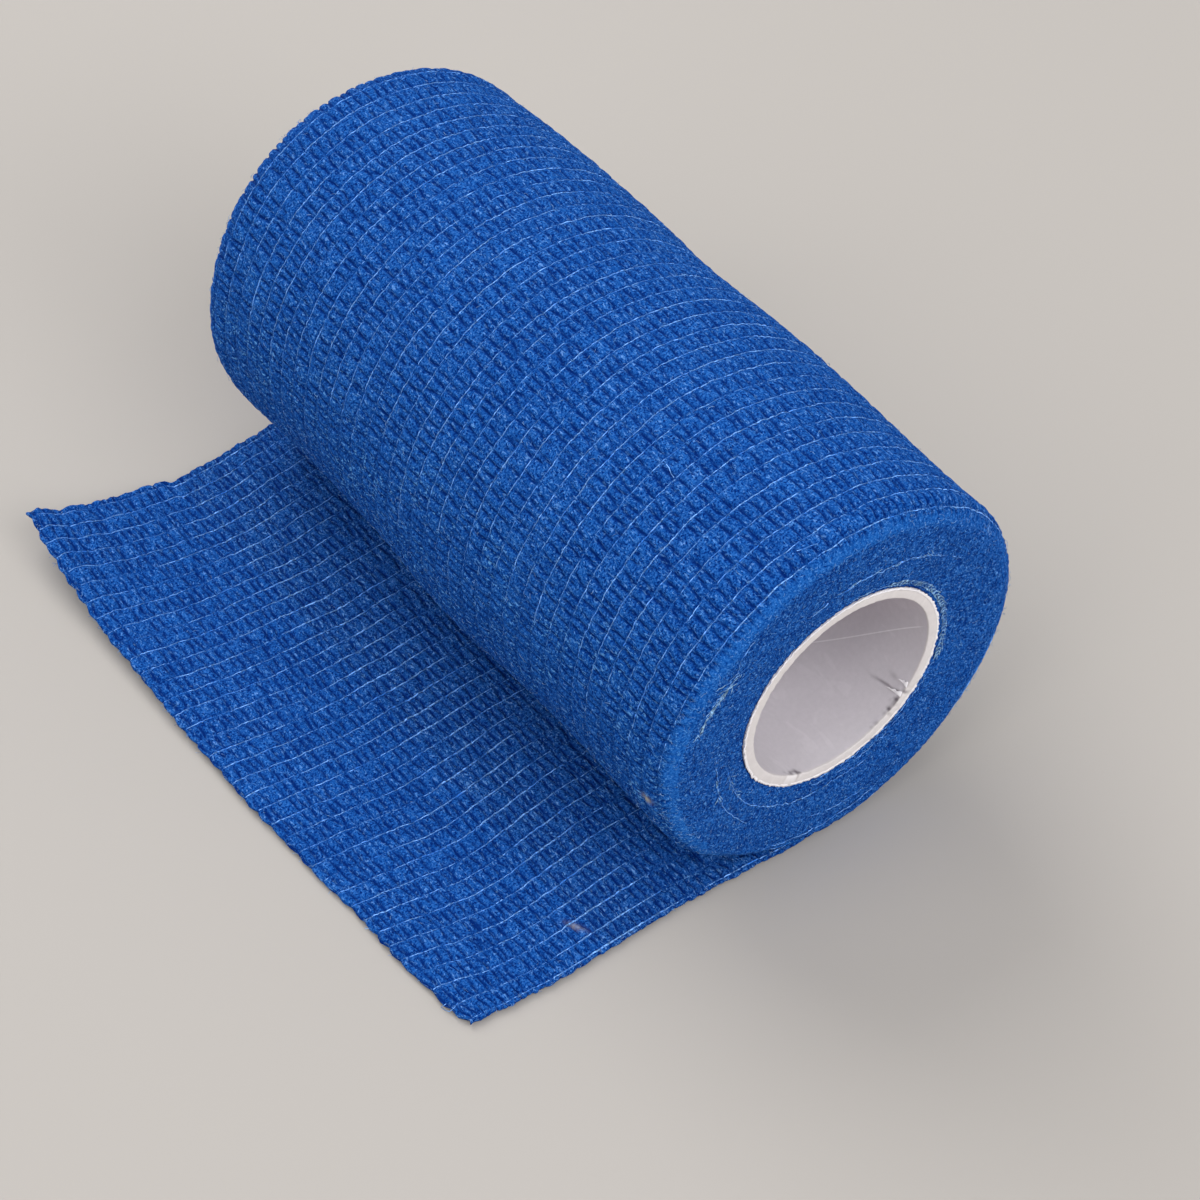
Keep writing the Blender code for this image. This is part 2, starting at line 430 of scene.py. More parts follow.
@dataclass
class Crepe:
    """The cloth's crepe: short creases across each column between two elastic threads.

    Lengths run in millimetres along the cloth from its cut edge. Each column has its own folds,
    some of which carry on from the column before, and its own fainter nicks between them.
    """

    length: float = 250.0
    pitch_loose: float = 1.14
    pitch_roll: float = 1.30
    pitch_nicks: float = 1.05
    loose_length: float = 50.0
    unevenness: float = 0.15
    faint_share: float = 0.06
    seed: int = 20
    rise: float = 0.29
    groove: float = 0.30
    thread_valley: float = 0.30
    smooth_rim: tuple = (0.42, 0.86)
    folds: dict = field(default_factory=dict)
    nicks: dict = field(default_factory=dict)

    def __post_init__(self) -> None:
        """Draws every column's creases."""
        draw = np.random.default_rng(self.seed)
        before = None
        for column in range(-1, THREADS.count):
            places = self._places(draw, self.pitch_loose, self.pitch_roll)
            if before is not None:
                nearest = before[np.abs(before[None, :] - places[:, None]).argmin(axis=1)]
                follows = (np.abs(nearest - places) < 0.5) & (draw.random(len(places)) < 0.45)
                places = np.where(follows, places + (nearest - places) * 0.8, places)
            self.folds[column] = self._row(draw, places, (0.80, 1.0), (0.15, 0.23), 0.16)
            small = self._places(draw, self.pitch_nicks, self.pitch_nicks)
            self.nicks[column] = self._row(draw, small, (0.0, 0.36), (0.10, 0.16), 0.80)
            before = places

    def _places(self, draw: np.random.Generator, loose_pitch: float, roll_pitch: float) -> Array:
        """Draws one column's crease places.

        Args:
            draw: The source of chance.
            loose_pitch: Mean distance from crease to crease on the loose end.
            roll_pitch: The same on the roll.

        Returns:
            Rising places along the cloth.
        """
        place, places = -2.0 - draw.random(), []
        while place < self.length:
            places.append(place)
            loose = 1.0 - min(1.0, max(0.0, (place - self.loose_length) / 8.0))
            pitch = roll_pitch + (loose_pitch - roll_pitch) * loose
            place += max(0.45 * pitch, pitch * (1.0 + self.unevenness * draw.normal()))
        return np.array(places)

    def _row(
        self, draw: np.random.Generator, places: Array, depths: tuple, reaches: tuple, broken: float
    ) -> CreaseRow:
        """Draws one column's creases at given places.

        Args:
            draw: The source of chance.
            places: Where they lie along the cloth.
            depths: Least and greatest depth.
            reaches: Least and greatest half width.
            broken: Share of the creases that stop halfway across the column.

        Returns:
            The creases.
        """
        count = len(places)
        part, faint = draw.random(count), draw.random(count) < self.faint_share
        return CreaseRow(
            place=places,
            depth=draw.uniform(*depths, count) * np.where(faint, 0.35, 1.0),
            reach=draw.uniform(*reaches, count),
            tilt=draw.normal(-0.14, 0.22, count),
            bow=draw.normal(0.0, 0.12, count),
            side=draw.uniform(-0.6, 0.6, count),
            phase=draw.uniform(0.0, 9.0, count),
            start=np.where(part < broken / 2, draw.uniform(0.25, 0.6, count), -0.1),
            stop=np.where(part > 1.0 - broken / 2, draw.uniform(0.4, 0.75, count), 1.1),
        )

    def line(self, along: Array, column: float) -> tuple[Array, Array]:
        """Relief along one line of the cloth.

        Args:
            along: Places along the cloth.
            column: The line's column number.

        Returns:
            Height of the surface over the thread lines, and how deep in a crease or thread valley it lies,
            which sets its painted shade.
        """
        number = min(max(math.floor(column), -1), THREADS.last)
        part = column - number
        creased, arch, gap = self.folds[number].strokes(along, part)
        nicked, _, _ = self.nicks[number].strokes(along, part)
        to_thread = min(part, 1.0 - part) * THREADS.pitch
        valley = 1.0 - 0.62 * math.exp(-(to_thread / self.thread_valley) ** 2)
        crown = valley * (0.80 + 0.20 * math.sin(math.pi * part))
        size = np.clip(gap / 1.3, 0.8, 1.2)
        cut = np.clip(np.maximum(creased, 0.8 * nicked), 0.0, 1.0) * (0.5 + 0.5 * valley)
        height = self.rise * crown * size * (0.35 + 0.65 * arch) - self.groove * cut
        return height, np.clip(cut + 0.10 * (1.0 - valley), 0.0, 1.0)

    def relief(self, along: Array, columns: Array) -> tuple[Array, Array]:
        """Relief on a grid.

        Args:
            along: Places along the cloth, one per row.
            columns: Column numbers, one per grid column.

        Returns:
            Heights and crease depths, as grids.
        """
        lines = [self.line(along, float(column)) for column in columns]
        height, dark = (layers(*(one[part] for one in lines)) for part in (0, 1))
        rows, across = along[:, None], columns[None, :] * THREADS.pitch
        fine = noise(rows / 0.40, across / 0.5, self.seed + 1)
        broad = noise(rows / 3.1, across / 2.5, self.seed + 2)
        patchy = 1.0 + 0.04 * noise(rows / 5.0, across / 3.5, self.seed + 3)
        smooth_to, full_from = self.smooth_rim
        smooth = ramp(columns[None, :], smooth_to, full_from - smooth_to)
        smooth = np.maximum(smooth, rows < SHEET.start)
        height = height * (1.0 + 0.06 * broad) + 0.03 * fine
        calm = 0.14 + 0.03 * broad + 0.02 * fine
        dark = np.clip(dark * patchy, 0.0, 1.0) * (0.15 + 0.85 * smooth)
        return calm + (height - calm) * (0.2 + 0.8 * smooth), dark


CREPE = Crepe()


@dataclass(frozen=True)
class ClothSheet:
    """The bandage cloth as one long sheet: loose end, flat spot and outer turn.

    along counts millimetres from the cut edge and column counts threads from the near edge.
    """

    thickness: float = 0.80
    middle: float = 0.4
    sink: float = 0.30

    @property
    def start(self) -> float:
        """Place along the cloth where the outer turn leaves the table."""
        return ROLL.start_x - LOOSE.cut_station

    def angle(self, along: Array) -> Array:
        """Angle round the roll of a place along the outer turn."""
        return ROLL.start_angle + (along - self.start) / (ROLL.radius - self.middle)

    def along_at(self, degrees: float) -> float:
        """Place along the cloth at an angle round the roll."""
        return self.start + (math.radians(degrees) - ROLL.start_angle) * (ROLL.radius - self.middle)

    def wander(self, along: Array, column: Array) -> Array:
        """Small sideways wander of the threads and the cloth with them."""
        slow = 0.20 * noise(along / 9.0, column / 4.0, 31)
        quick = 0.10 * noise(along / 1.6, column / 1.1, 32)
        tight = 0.06 * noise(along / 0.75, column / 0.7, 33)
        return slow + quick + tight

    def roll_surface(self, along: Array, column: Array) -> tuple[Array, Array]:
        """Outside of the outer turn without its crepe.

        Args:
            along: Places along the cloth, past start.
            column: Column numbers.

        Returns:
            Points and the directions in which the surface faces.
        """
        angle = self.angle(along)
        near = ROLL.shoulder_near * ROLL.roundness(angle)
        far = ROLL.shoulder_far * ROLL.roundness(angle)
        setback = ROLL.edge_setback(angle)
        near_arc = near * math.radians(ROLL.wrap_near)
        straight = ROLL.width - 2.0 * setback - near - far
        total = near_arc + straight + far * math.radians(ROLL.wrap_far)
        drift = 0.9 * hill(np.degrees(angle), 66.0, 38.0)
        past = np.maximum(column - THREADS.last, 0.0)
        path = total * THREADS.share(column + past * (ROLL.beyond_last(angle) - 1.0))
        path = path + self.wander(along, column)
        path = path - drift * (1.0 - ease(column / 13.0)) * ROLL.roundness(angle)
        near_turn = np.clip((near_arc - path) / np.maximum(near, 0.01), 0.0, 1.72)
        far_turn = np.clip((path - near_arc - straight) / np.maximum(far, 0.01), 0.0, 1.72)
        y = setback + near + np.clip(path - near_arc, np.minimum(0.0, 0.0 - near), straight)
        y = np.where(near_turn > 0, setback + near * (1.0 - np.sin(near_turn)), y)
        y = np.where(far_turn > 0, setback + near + straight + far * np.sin(far_turn), y)
        inset = near * (1.0 - np.cos(near_turn)) + far * (1.0 - np.cos(far_turn))
        radius = ROLL.spiral(angle) - inset + ROLL.swell(angle, y)
        lean = np.sin(far_turn) - np.sin(near_turn)
        out = np.sqrt(np.maximum(1.0 - lean ** 2, 0.0))
        return about_axis(radius, angle, y), layers(out * np.cos(angle), lean, out * np.sin(angle))

    def bend(self, x: Array, column: Array) -> Array:
        """How far the threads of the loose end are drawn sideways.

        Args:
            x: Distance from the roll's axis.
            column: Column numbers.

        Returns:
            The shift towards the far end.
        """
        band = ramp(x, -34.8, 14.0)
        near_side = 1.05 * hill(column, 8.5, 7.0) * ease(column / 3.0)
        slack = -0.55 * hill(x, -39.0, 6.0) * hill(column, 9.5, 8.0)
        fold = ramp(x, -35.4, 0.8) * (1.0 - ramp(x, -33.5, 4.5))
        fold = 0.50 * fold * np.clip(column / 20.0, 0.0, 1.0) * (1.0 - ease(column - 35.0))
        middle = 0.35 * hill(column, 20.0, 8.0)
        far_side = 0.9 * hill(column, 32.0, 3.5)
        to_cut = ramp(x, -44.0, -10.0)
        fan = 0.9 * hill(column, 3.0, 3.5) + 0.8 * hill(column, 31.0, 5.0)
        drawn = band * (near_side + middle + far_side) + to_cut * fan * ease(column / 2.0)
        return drawn + slack + fold

    def loose_surface(self, along: Array, column: Array) -> tuple[Array, Array]:
        """Underside of the loose end without its crepe.

        Args:
            along: Places along the cloth, up to start.
            column: Column numbers.

        Returns:
            Points and the directions in which this face looks, away from the roll's axis.
        """
        across = THREADS.share(column)
        plain_x = LOOSE.cut_station + along
        x = LOOSE.spread(plain_x, across)
        near = eased_table(x, LOOSE.stations, LOOSE.near_edge)
        far = eased_table(x, LOOSE.stations, LOOSE.far_edge)
        room = ease(across / 0.05) * ramp(across, 1.0, -0.05)
        y = near + (far - near) * across
        y = y + (self.wander(along, column) * 0.8 + self.bend(x, column)) * room
        beyond = np.maximum(-column, 0.0) * 5.0
        past = np.maximum(column - THREADS.last, 0.0) / (THREADS.far_column - THREADS.last)
        ripple = noise(along / 0.75, np.zeros_like(along), 35)
        y = y - beyond * 0.16 * ripple + past * 0.22 * ripple
        scallop = 0.28 * np.abs(np.sin(math.pi * column)) + 0.14 * noise(column / 0.3, column * 0, 36)
        x = x - scallop * ease(1.0 - along / 1.6)
        z = LOOSE.lift(x, across)
        points = layers(x, y, z)
        return points, np.zeros(points.shape) - (0.0, 0.0, 1.0)

    def surface(
        self, along: Array, columns: Array, face: Face, crepe: bool = True
    ) -> tuple[Array, Array]:
        """Points of one face of the cloth on a grid.

        Args:
            along: Places along the cloth, one per row.
            columns: Column numbers, one per grid column.
            face: Which face.
            crepe: Whether the face has its crepe.

        Returns:
            Points, and how deep in a crease each lies.
        """
        rows, lines = along[:, None], columns[None, :]
        on_roll = along > self.start
        points = np.zeros((len(along), len(columns), 3))
        facing = np.zeros_like(points)
        if on_roll.any():
            points[on_roll], facing[on_roll] = self.roll_surface(rows[on_roll], lines)
        if (~on_roll).any():
            points[~on_roll], facing[~on_roll] = self.loose_surface(rows[~on_roll], lines)
        height, dark = CREPE.relief(along, columns)
        if not crepe:
            height, dark = height * 0.0 + 0.1, dark * 0.0
        widened = np.where(on_roll, ROLL.beyond_last(self.angle(along)), 1.0)[:, None]
        to_far = (THREADS.far_column - lines) * THREADS.pitch * widened
        margin = np.minimum((lines - THREADS.near_column) * 2.5, to_far)
        margin = np.minimum(margin, 0.9 * rows)
        fullness = np.sqrt(np.clip(1.0 - (1.0 - np.clip(margin / 0.5, 0.0, 1.0)) ** 2, 0.0, 1.0))
        if face is Face.OUTER:
            offset = (-self.sink + height) * fullness - self.thickness / 2 * (1.0 - fullness)
            points = points + facing * offset[..., None]
        else:
            half = ROLL.layer / 2
            top = (ROLL.layer - self.sink + height) * fullness + half * (1.0 - fullness)
            points = points - facing * top[..., None]
        return points, dark


SHEET = ClothSheet()


class Sketch:
    """A small helper that lays out one node tree."""

    def __init__(self, tree: bpy.types.NodeTree) -> None:
        """Keeps the tree and empties it."""
        self.tree = tree
        tree.nodes.clear()

    def node(self, kind: str, inputs: dict | None = None, **settings: object) -> bpy.types.Node:
        """Adds a node.

        Args:
            kind: The node's type name.
            inputs: Socket name or number to a value or to another node's output.
            **settings: Properties of the node.

        Returns:
            The node.
        """
        made = self.tree.nodes.new(kind)
        for name, value in settings.items():
            setattr(made, name, value)
        for name, value in (inputs or {}).items():
            if isinstance(value, Socket):
                self.tree.links.new(value, made.inputs[name])
            else:
                made.inputs[name].default_value = value
        return made

    def read(self, name: str) -> bpy.types.Node:
        """Adds a node that reads an attribute of the mesh."""
        return self.node("ShaderNodeAttribute", attribute_name=name)

    def texture(
        self,
        place: object,
        scale: object,
        detail: float = 2.0,
        roughness: float = 0.6,
        distortion: float = 0.0,
    ) -> Socket:
        """Adds a noise texture and gives its strength.

        Args:
            place: The socket that says where.
            scale: Lumps per unit of place, a socket or a number.
            detail: How many finer layers it has.
            roughness: How strong the finer layers are.
            distortion: How far it is warped.

        Returns:
            The output socket.
        """
        given = {"Vector": place, "Scale": scale, "Detail": detail, "Roughness": roughness}
        made = self.node("ShaderNodeTexNoise", {**given, "Distortion": distortion})
        return made.outputs["Fac"]

    def math(
        self, operation: str, first: object, second: object = 0.0, clamp: bool = False
    ) -> Socket:
        """Adds a Math node and gives its output.

        Args:
            operation: The Math node's operation.
            first: A socket or a number.
            second: A socket or a number.
            clamp: Whether the result is held between 0 and 1.

        Returns:
            The output socket.
        """
        made = self.node("ShaderNodeMath", {0: first, 1: second}, operation=operation)
        made.use_clamp = clamp
        return made.outputs[0]

    def blend(self, share: object, first: object, second: object, kind: str = "MIX") -> Socket:
        """Adds a colour mix and gives its output.

        Args:
            share: How much of the second colour, a socket or a number.
            first: A socket or a colour.
            second: A socket or a colour.
            kind: The way in which the two mix.

        Returns:
            The output socket.
        """
        given = {0: share, 6: first, 7: second}
        return self.node("ShaderNodeMix", given, data_type="RGBA", blend_type=kind).outputs[2]

    def spread(
        self, value: object, low: float, high: float, to_low: float = 0.0, to_high: float = 1.0
    ) -> Socket:
        """Adds a clamped Map Range node and gives its output.

        Args:
            value: The socket to map.
            low: Where the range starts.
            high: Where it ends.
            to_low: Result at the start.
            to_high: Result at the end.

        Returns:
            The output socket.
        """
        made = self.node("ShaderNodeMapRange", {0: value, 1: low, 2: high, 3: to_low, 4: to_high})
        return made.outputs[0]


def colour(red: float, green: float, blue: float) -> tuple[float, float, float, float]:
    """Turns display values from 0 to 255 into a linear colour with full alpha."""
    shares = [value / 255.0 for value in (red, green, blue)]
    linear = [s / 12.92 if s <= 0.04045 else ((s + 0.055) / 1.055) ** 2.4 for s in shares]
    return (*linear, 1.0)


def felt_grain() -> bpy.types.NodeTree:
    """Builds the group that gives matted fibres their grain, in metres of the object.

    Returns:
        The node group, with Height, Fleck and Tone outputs.
    """
    name = "felt_grain"
    if name in bpy.data.node_groups:
        return bpy.data.node_groups[name]
    tree = bpy.data.node_groups.new(name, "ShaderNodeTree")
    sketch = Sketch(tree)
    tree.interface.new_socket("Grain", in_out="INPUT", socket_type="NodeSocketFloat")
    tree.interface.new_socket("Flecks", in_out="INPUT", socket_type="NodeSocketFloat")
    for socket in ("Height", "Fleck", "Tone"):
        tree.interface.new_socket(socket, in_out="OUTPUT", socket_type="NodeSocketFloat")
    given = sketch.node("NodeGroupInput")
    place = sketch.node("ShaderNodeTexCoord").outputs["Object"]
    grain = sketch.texture(place, given.outputs["Grain"])
    streak_place = sketch.node(
        "ShaderNodeMapping", {"Vector": place, "Rotation": (0.4, 0.9, 0.3), "Scale": (1.0, 0.4, 1.0)}
    )
    streak = sketch.texture(streak_place.outputs[0], given.outputs["Flecks"], 1.0, distortion=0.8)
    fleck = sketch.spread(streak, 0.60, 0.69)
    tone = sketch.spread(sketch.texture(place, 260.0, 3.0), 0.3, 0.7)
    height = sketch.math("ADD", grain, sketch.math("MULTIPLY", fleck, 0.35))
    sketch.node("NodeGroupOutput", {"Height": height, "Fleck": fleck, "Tone": tone})
    return tree


@dataclass(frozen=True)
class Finish:
    """What all the finishes share: a new material with the fibres' grain, and its closing nodes."""

    name: str
    grain: float
    flecks: float
    bump: float
    bump_depth: float
    roughness: float
    specular: float

    def material(self) -> bpy.types.Material:
        """Builds the material, as each finish says."""
        raise NotImplementedError(self.name)

    def begin(self) -> tuple[bpy.types.Material, Sketch, list[Socket]]:
        """Starts the material.

        Returns:
            The material, its node sketch, and the grain's height, flecks and tone.
        """
        made = bpy.data.materials.new(self.name)
        made.use_nodes = True
        sketch = Sketch(made.node_tree)
        group = sketch.node("ShaderNodeGroup", node_tree=felt_grain())
        group.inputs["Grain"].default_value = self.grain
        group.inputs["Flecks"].default_value = self.flecks
        return made, sketch, list(group.outputs)

    def close(self, sketch: Sketch, body: object, raised: object) -> bpy.types.Node:
        """Ends the material with its bump, shader and output.

        Args:
            sketch: The material's node tree.
            body: The surface's colour.
            raised: The height of its bump.

        Returns:
            The shader.
        """
        bumped = sketch.node(
            "ShaderNodeBump", {"Strength": self.bump, "Distance": self.bump_depth, "Height": raised}
        )
        given = {"Base Color": body, "Normal": bumped.outputs[0], "Roughness": self.roughness}
        shader = sketch.node("ShaderNodeBsdfPrincipled", given)
        shader.inputs["Specular IOR Level"].default_value = self.specular
        sketch.node("ShaderNodeOutputMaterial", {"Surface": shader.outputs[0]})
        return shader


@dataclass(frozen=True)
class ClothFinish(Finish):
    """The crepe cloth: a matt blue non-woven with pale fibres, painted shade in its creases, its fine pits
    and beside its threads, and a painted highlight on its felted rim.
    """

    name: str = "crepe_cloth"
    base: tuple = colour(17, 74, 152)
    bright: tuple = colour(21, 83, 164)
    # Partly the felted rim's own smoother blue, partly a painted highlight on the rim's rounded shoulder.
    rim: tuple = colour(25, 91, 174)
    # Painted shade: creases, fine pits and the valleys beside the threads are darkened toward this dark
    # blue.
    crease: tuple = colour(0, 36, 108)
    stretched: tuple = colour(22, 77, 151)
    fibre: tuple = colour(92, 154, 216)
    stain: tuple = colour(180, 172, 148)
    sheen_tint: tuple = colour(60, 130, 230)
    roughness: float = 0.9
    specular: float = 0.04
    sheen: float = 0.03
    sheen_roughness: float = 0.4
    grain: float = 3800.0
    flecks: float = 4000.0
    fleck_strength: float = 0.27
    grain_contrast: float = 5.6
    grain_tint: tuple = (2.4, 1.0, 0.58)
    crease_shade_strength: float = 1.25
    pit_size: tuple = (2.1, 1.05, 0.0)
    pit_shade_strength: float = 0.26
    # Painted shadow beside each thread: how far it darkens toward the crease colour.
    thread_shadow_strength: float = 0.45
    bump: float = 0.75
    bump_depth: float = 0.00014

    def grain_light(self, sketch: Sketch, height: object, calm: object) -> Socket:
        """Lays out how the grain lightens and darkens the cloth, red most and blue least.

        Args:
            sketch: The material's node tree.
            height: The grain's height.
            calm: 0 where the felted rim softens the grain.

        Returns:
            A colour to multiply by.
        """
        contrast = sketch.spread(calm, 0.0, 1.0, 0.5 * self.grain_contrast, self.grain_contrast)
        shade = sketch.math("MULTIPLY", sketch.math("SUBTRACT", height, 0.5), contrast)
        lit = sketch.math("MAXIMUM", sketch.math("ADD", shade, 1.0), 0.2)
        parts = {number: sketch.math("POWER", lit, power) for number, power in enumerate(self.grain_tint)}
        return sketch.node("ShaderNodeCombineColor", parts).outputs[0]

    def painted_thread_shadow(self, sketch: Sketch, places: bpy.types.Node) -> Socket:
        """Lays out a painted shadow in the narrow valley on the far side of each elastic thread.

        Args:
            sketch: The material's node tree.
            places: The lay, split into along, across and the felted rim, whose third part also sets a
                painted highlight.

        Returns:
            How much painted shadow a place gets.
        """
        column = sketch.math("DIVIDE", places.outputs[1], THREADS.pitch)
        part = sketch.math("FRACT", sketch.math("ADD", column, 0.5))
        off = sketch.math("MULTIPLY", sketch.math("SUBTRACT", part, 0.5), THREADS.pitch)
        valley = sketch.spread(sketch.math("ABSOLUTE", sketch.math("SUBTRACT", off, 0.17)), 0.30, 0.08)
        shown = sketch.math("SUBTRACT", 1.0, sketch.math("ABSOLUTE", places.outputs[2]), clamp=True)
        return sketch.math("MULTIPLY", sketch.math("MULTIPLY", valley, shown), self.thread_shadow_strength)

    def material(self) -> bpy.types.Material:
        """Builds the material.

        Returns:
            The finished material.
        """
        made, sketch, (height, fleck, tone) = self.begin()
        weave = sketch.read("weave")
        marks = sketch.node("ShaderNodeSeparateColor", {0: weave.outputs["Color"]})
        dark, drawn, pale = (marks.outputs[i] for i in range(3))
        lay = sketch.read("lay").outputs["Vector"]
        places = sketch.node("ShaderNodeSeparateXYZ", {0: lay})
        rim_felt_and_highlight = sketch.math("MAXIMUM", places.outputs[2], 0.0)
        calm = sketch.math("SUBTRACT", 1.0, rim_felt_and_highlight, clamp=True)
        body = sketch.blend(tone, self.base, self.bright)
        body = sketch.blend(drawn, body, self.stretched)
        # Painted highlight: the felted rim is lightened toward the rim blue.
        body = sketch.blend(rim_felt_and_highlight, body, self.rim)
        body = sketch.blend(1.0, body, self.grain_light(sketch, height, calm), "MULTIPLY")
        scaled = sketch.node("ShaderNodeMapping", {"Vector": lay, "Scale": self.pit_size})
        pit = sketch.spread(sketch.texture(scaled.outputs[0], 1.0, 1.0, 0.5, 0.3), 0.44, 0.28)
        # Painted shade: creases and fine pits darken toward the crease colour, and so does the valley
        # beside each thread.
        deep = sketch.math("MULTIPLY", dark, self.crease_shade_strength)
        small = sketch.math("MULTIPLY", sketch.math("MULTIPLY", pit, calm), self.pit_shade_strength)
        deep = sketch.math("MAXIMUM", deep, small)
        deep = sketch.math("MAXIMUM", deep, self.painted_thread_shadow(sketch, places))
        body = sketch.blend(sketch.math("MINIMUM", deep, 0.97), body, self.crease)
        spark = sketch.math("ADD", sketch.math("MULTIPLY", pale, 0.8), self.fleck_strength)
        spark = sketch.math("MULTIPLY", fleck, spark, clamp=True)
        body = sketch.blend(spark, body, self.fibre)
        body = sketch.blend(weave.outputs["Alpha"], self.stain, body)
        raised = sketch.math("SUBTRACT", height, sketch.math("MULTIPLY", pit, 0.5))
        raised = sketch.math("MULTIPLY", raised, sketch.spread(rim_felt_and_highlight, 0.0, 1.0, 1.0, 0.45))
        shader = self.close(sketch, body, raised)
        shader.inputs["Sheen Weight"].default_value = self.sheen
        shader.inputs["Sheen Roughness"].default_value = self.sheen_roughness
        shader.inputs["Sheen Tint"].default_value = self.sheen_tint
        return made


@dataclass(frozen=True)
class ThreadFinish(Finish):
    """Elastic threads and loose fibres: thin and pale, stained blue in places."""

    name: str = "elastic_thread"
    pale: tuple = colour(122, 175, 242)
    stained: tuple = colour(52, 116, 204)
    patches: float = 520.0
    grain: float = 2300.0
    flecks: float = 900.0
    bump: float = 0.3
    bump_depth: float = 0.00004
    roughness: float = 0.8
    specular: float = 0.12

    def material(self) -> bpy.types.Material:
        """Builds the material.

        Returns:
            The finished material.
        """
        made, sketch, (height, _, _) = self.begin()
        place = sketch.node("ShaderNodeTexCoord").outputs["Object"]
        share = sketch.spread(sketch.texture(place, self.patches, roughness=0.5), 0.42, 0.66)
        body = sketch.blend(share, self.pale, self.stained)
        lit = sketch.spread(height, 0.38, 0.66, 0.45, 1.4)
        self.close(sketch, sketch.blend(1.0, body, lit, "MULTIPLY"), height)
        return made


@dataclass(frozen=True)
class PaperboardFinish(Finish):
    """The tube's paperboard: warm white where it is cut, grey-lilac and smooth in the bore, with painted
    light beyond the bore's seam and painted shade along its tear.
    """

    name: str = "paperboard"
    cut: tuple = colour(215, 209, 209)
    wall: tuple = colour(215, 210, 216)
    # Painted light: a lighter, pinker colour laid on the bore wall beyond the seam, where the bore lies in
    # shade; random tone also leans a little toward it.
    shade: tuple = colour(232, 222, 230)
    seam: tuple = colour(252, 249, 253)
    # Dark grey: painted shade in the tear's groove, a painted shadow beside the short torn sliver, and
    # darker spots along the worn rim.
    torn: tuple = colour(92, 84, 92)
    grain: float = 1500.0
    flecks: float = 600.0
    bump: float = 0.25
    bump_depth: float = 0.00006
    roughness: float = 0.72
    specular: float = 0.5

    def material(self) -> bpy.types.Material:
        """Builds the material.

        Returns:
            The finished material.
        """
        made, sketch, (height, _, tone) = self.begin()
        board = sketch.read("board")
        marks = sketch.node("ShaderNodeSeparateColor", {0: board.outputs["Color"]})
        is_cut, seam, torn = (marks.outputs[i] for i in range(3))
        body = sketch.blend(sketch.math("MULTIPLY", tone, 0.10), self.wall, self.shade)
        # Painted light on the bore wall beyond the seam, where the fourth mark is below 1.
        body = sketch.blend(board.outputs["Alpha"], self.shade, body)
        body = sketch.blend(is_cut, body, self.cut)
        lap = sketch.node("ShaderNodeSeparateXYZ", {0: sketch.read("lay").outputs["Vector"]})
        line = sketch.spread(sketch.math("ABSOLUTE", lap.outputs[0]), 0.11, 0.03)
        line = sketch.math("MULTIPLY", line, sketch.math("MULTIPLY", lap.outputs[1], 0.75))
        body = sketch.blend(line, body, self.seam)
        body = sketch.blend(seam, body, self.seam)
        # Painted shade along the tear and beside the short sliver, with darker spots along the worn rim.
        body = sketch.blend(torn, body, self.torn)
        lit = sketch.spread(height, 0.3, 1.0, 0.95, 1.04)
        self.close(sketch, sketch.blend(1.0, body, lit, "MULTIPLY"), height)
        return made


@dataclass(frozen=True)
class Marks:
    """What a piece's material reads at each point: four-part marks and the lay of the surface."""

    name: str
    values: Array
    lay: Array


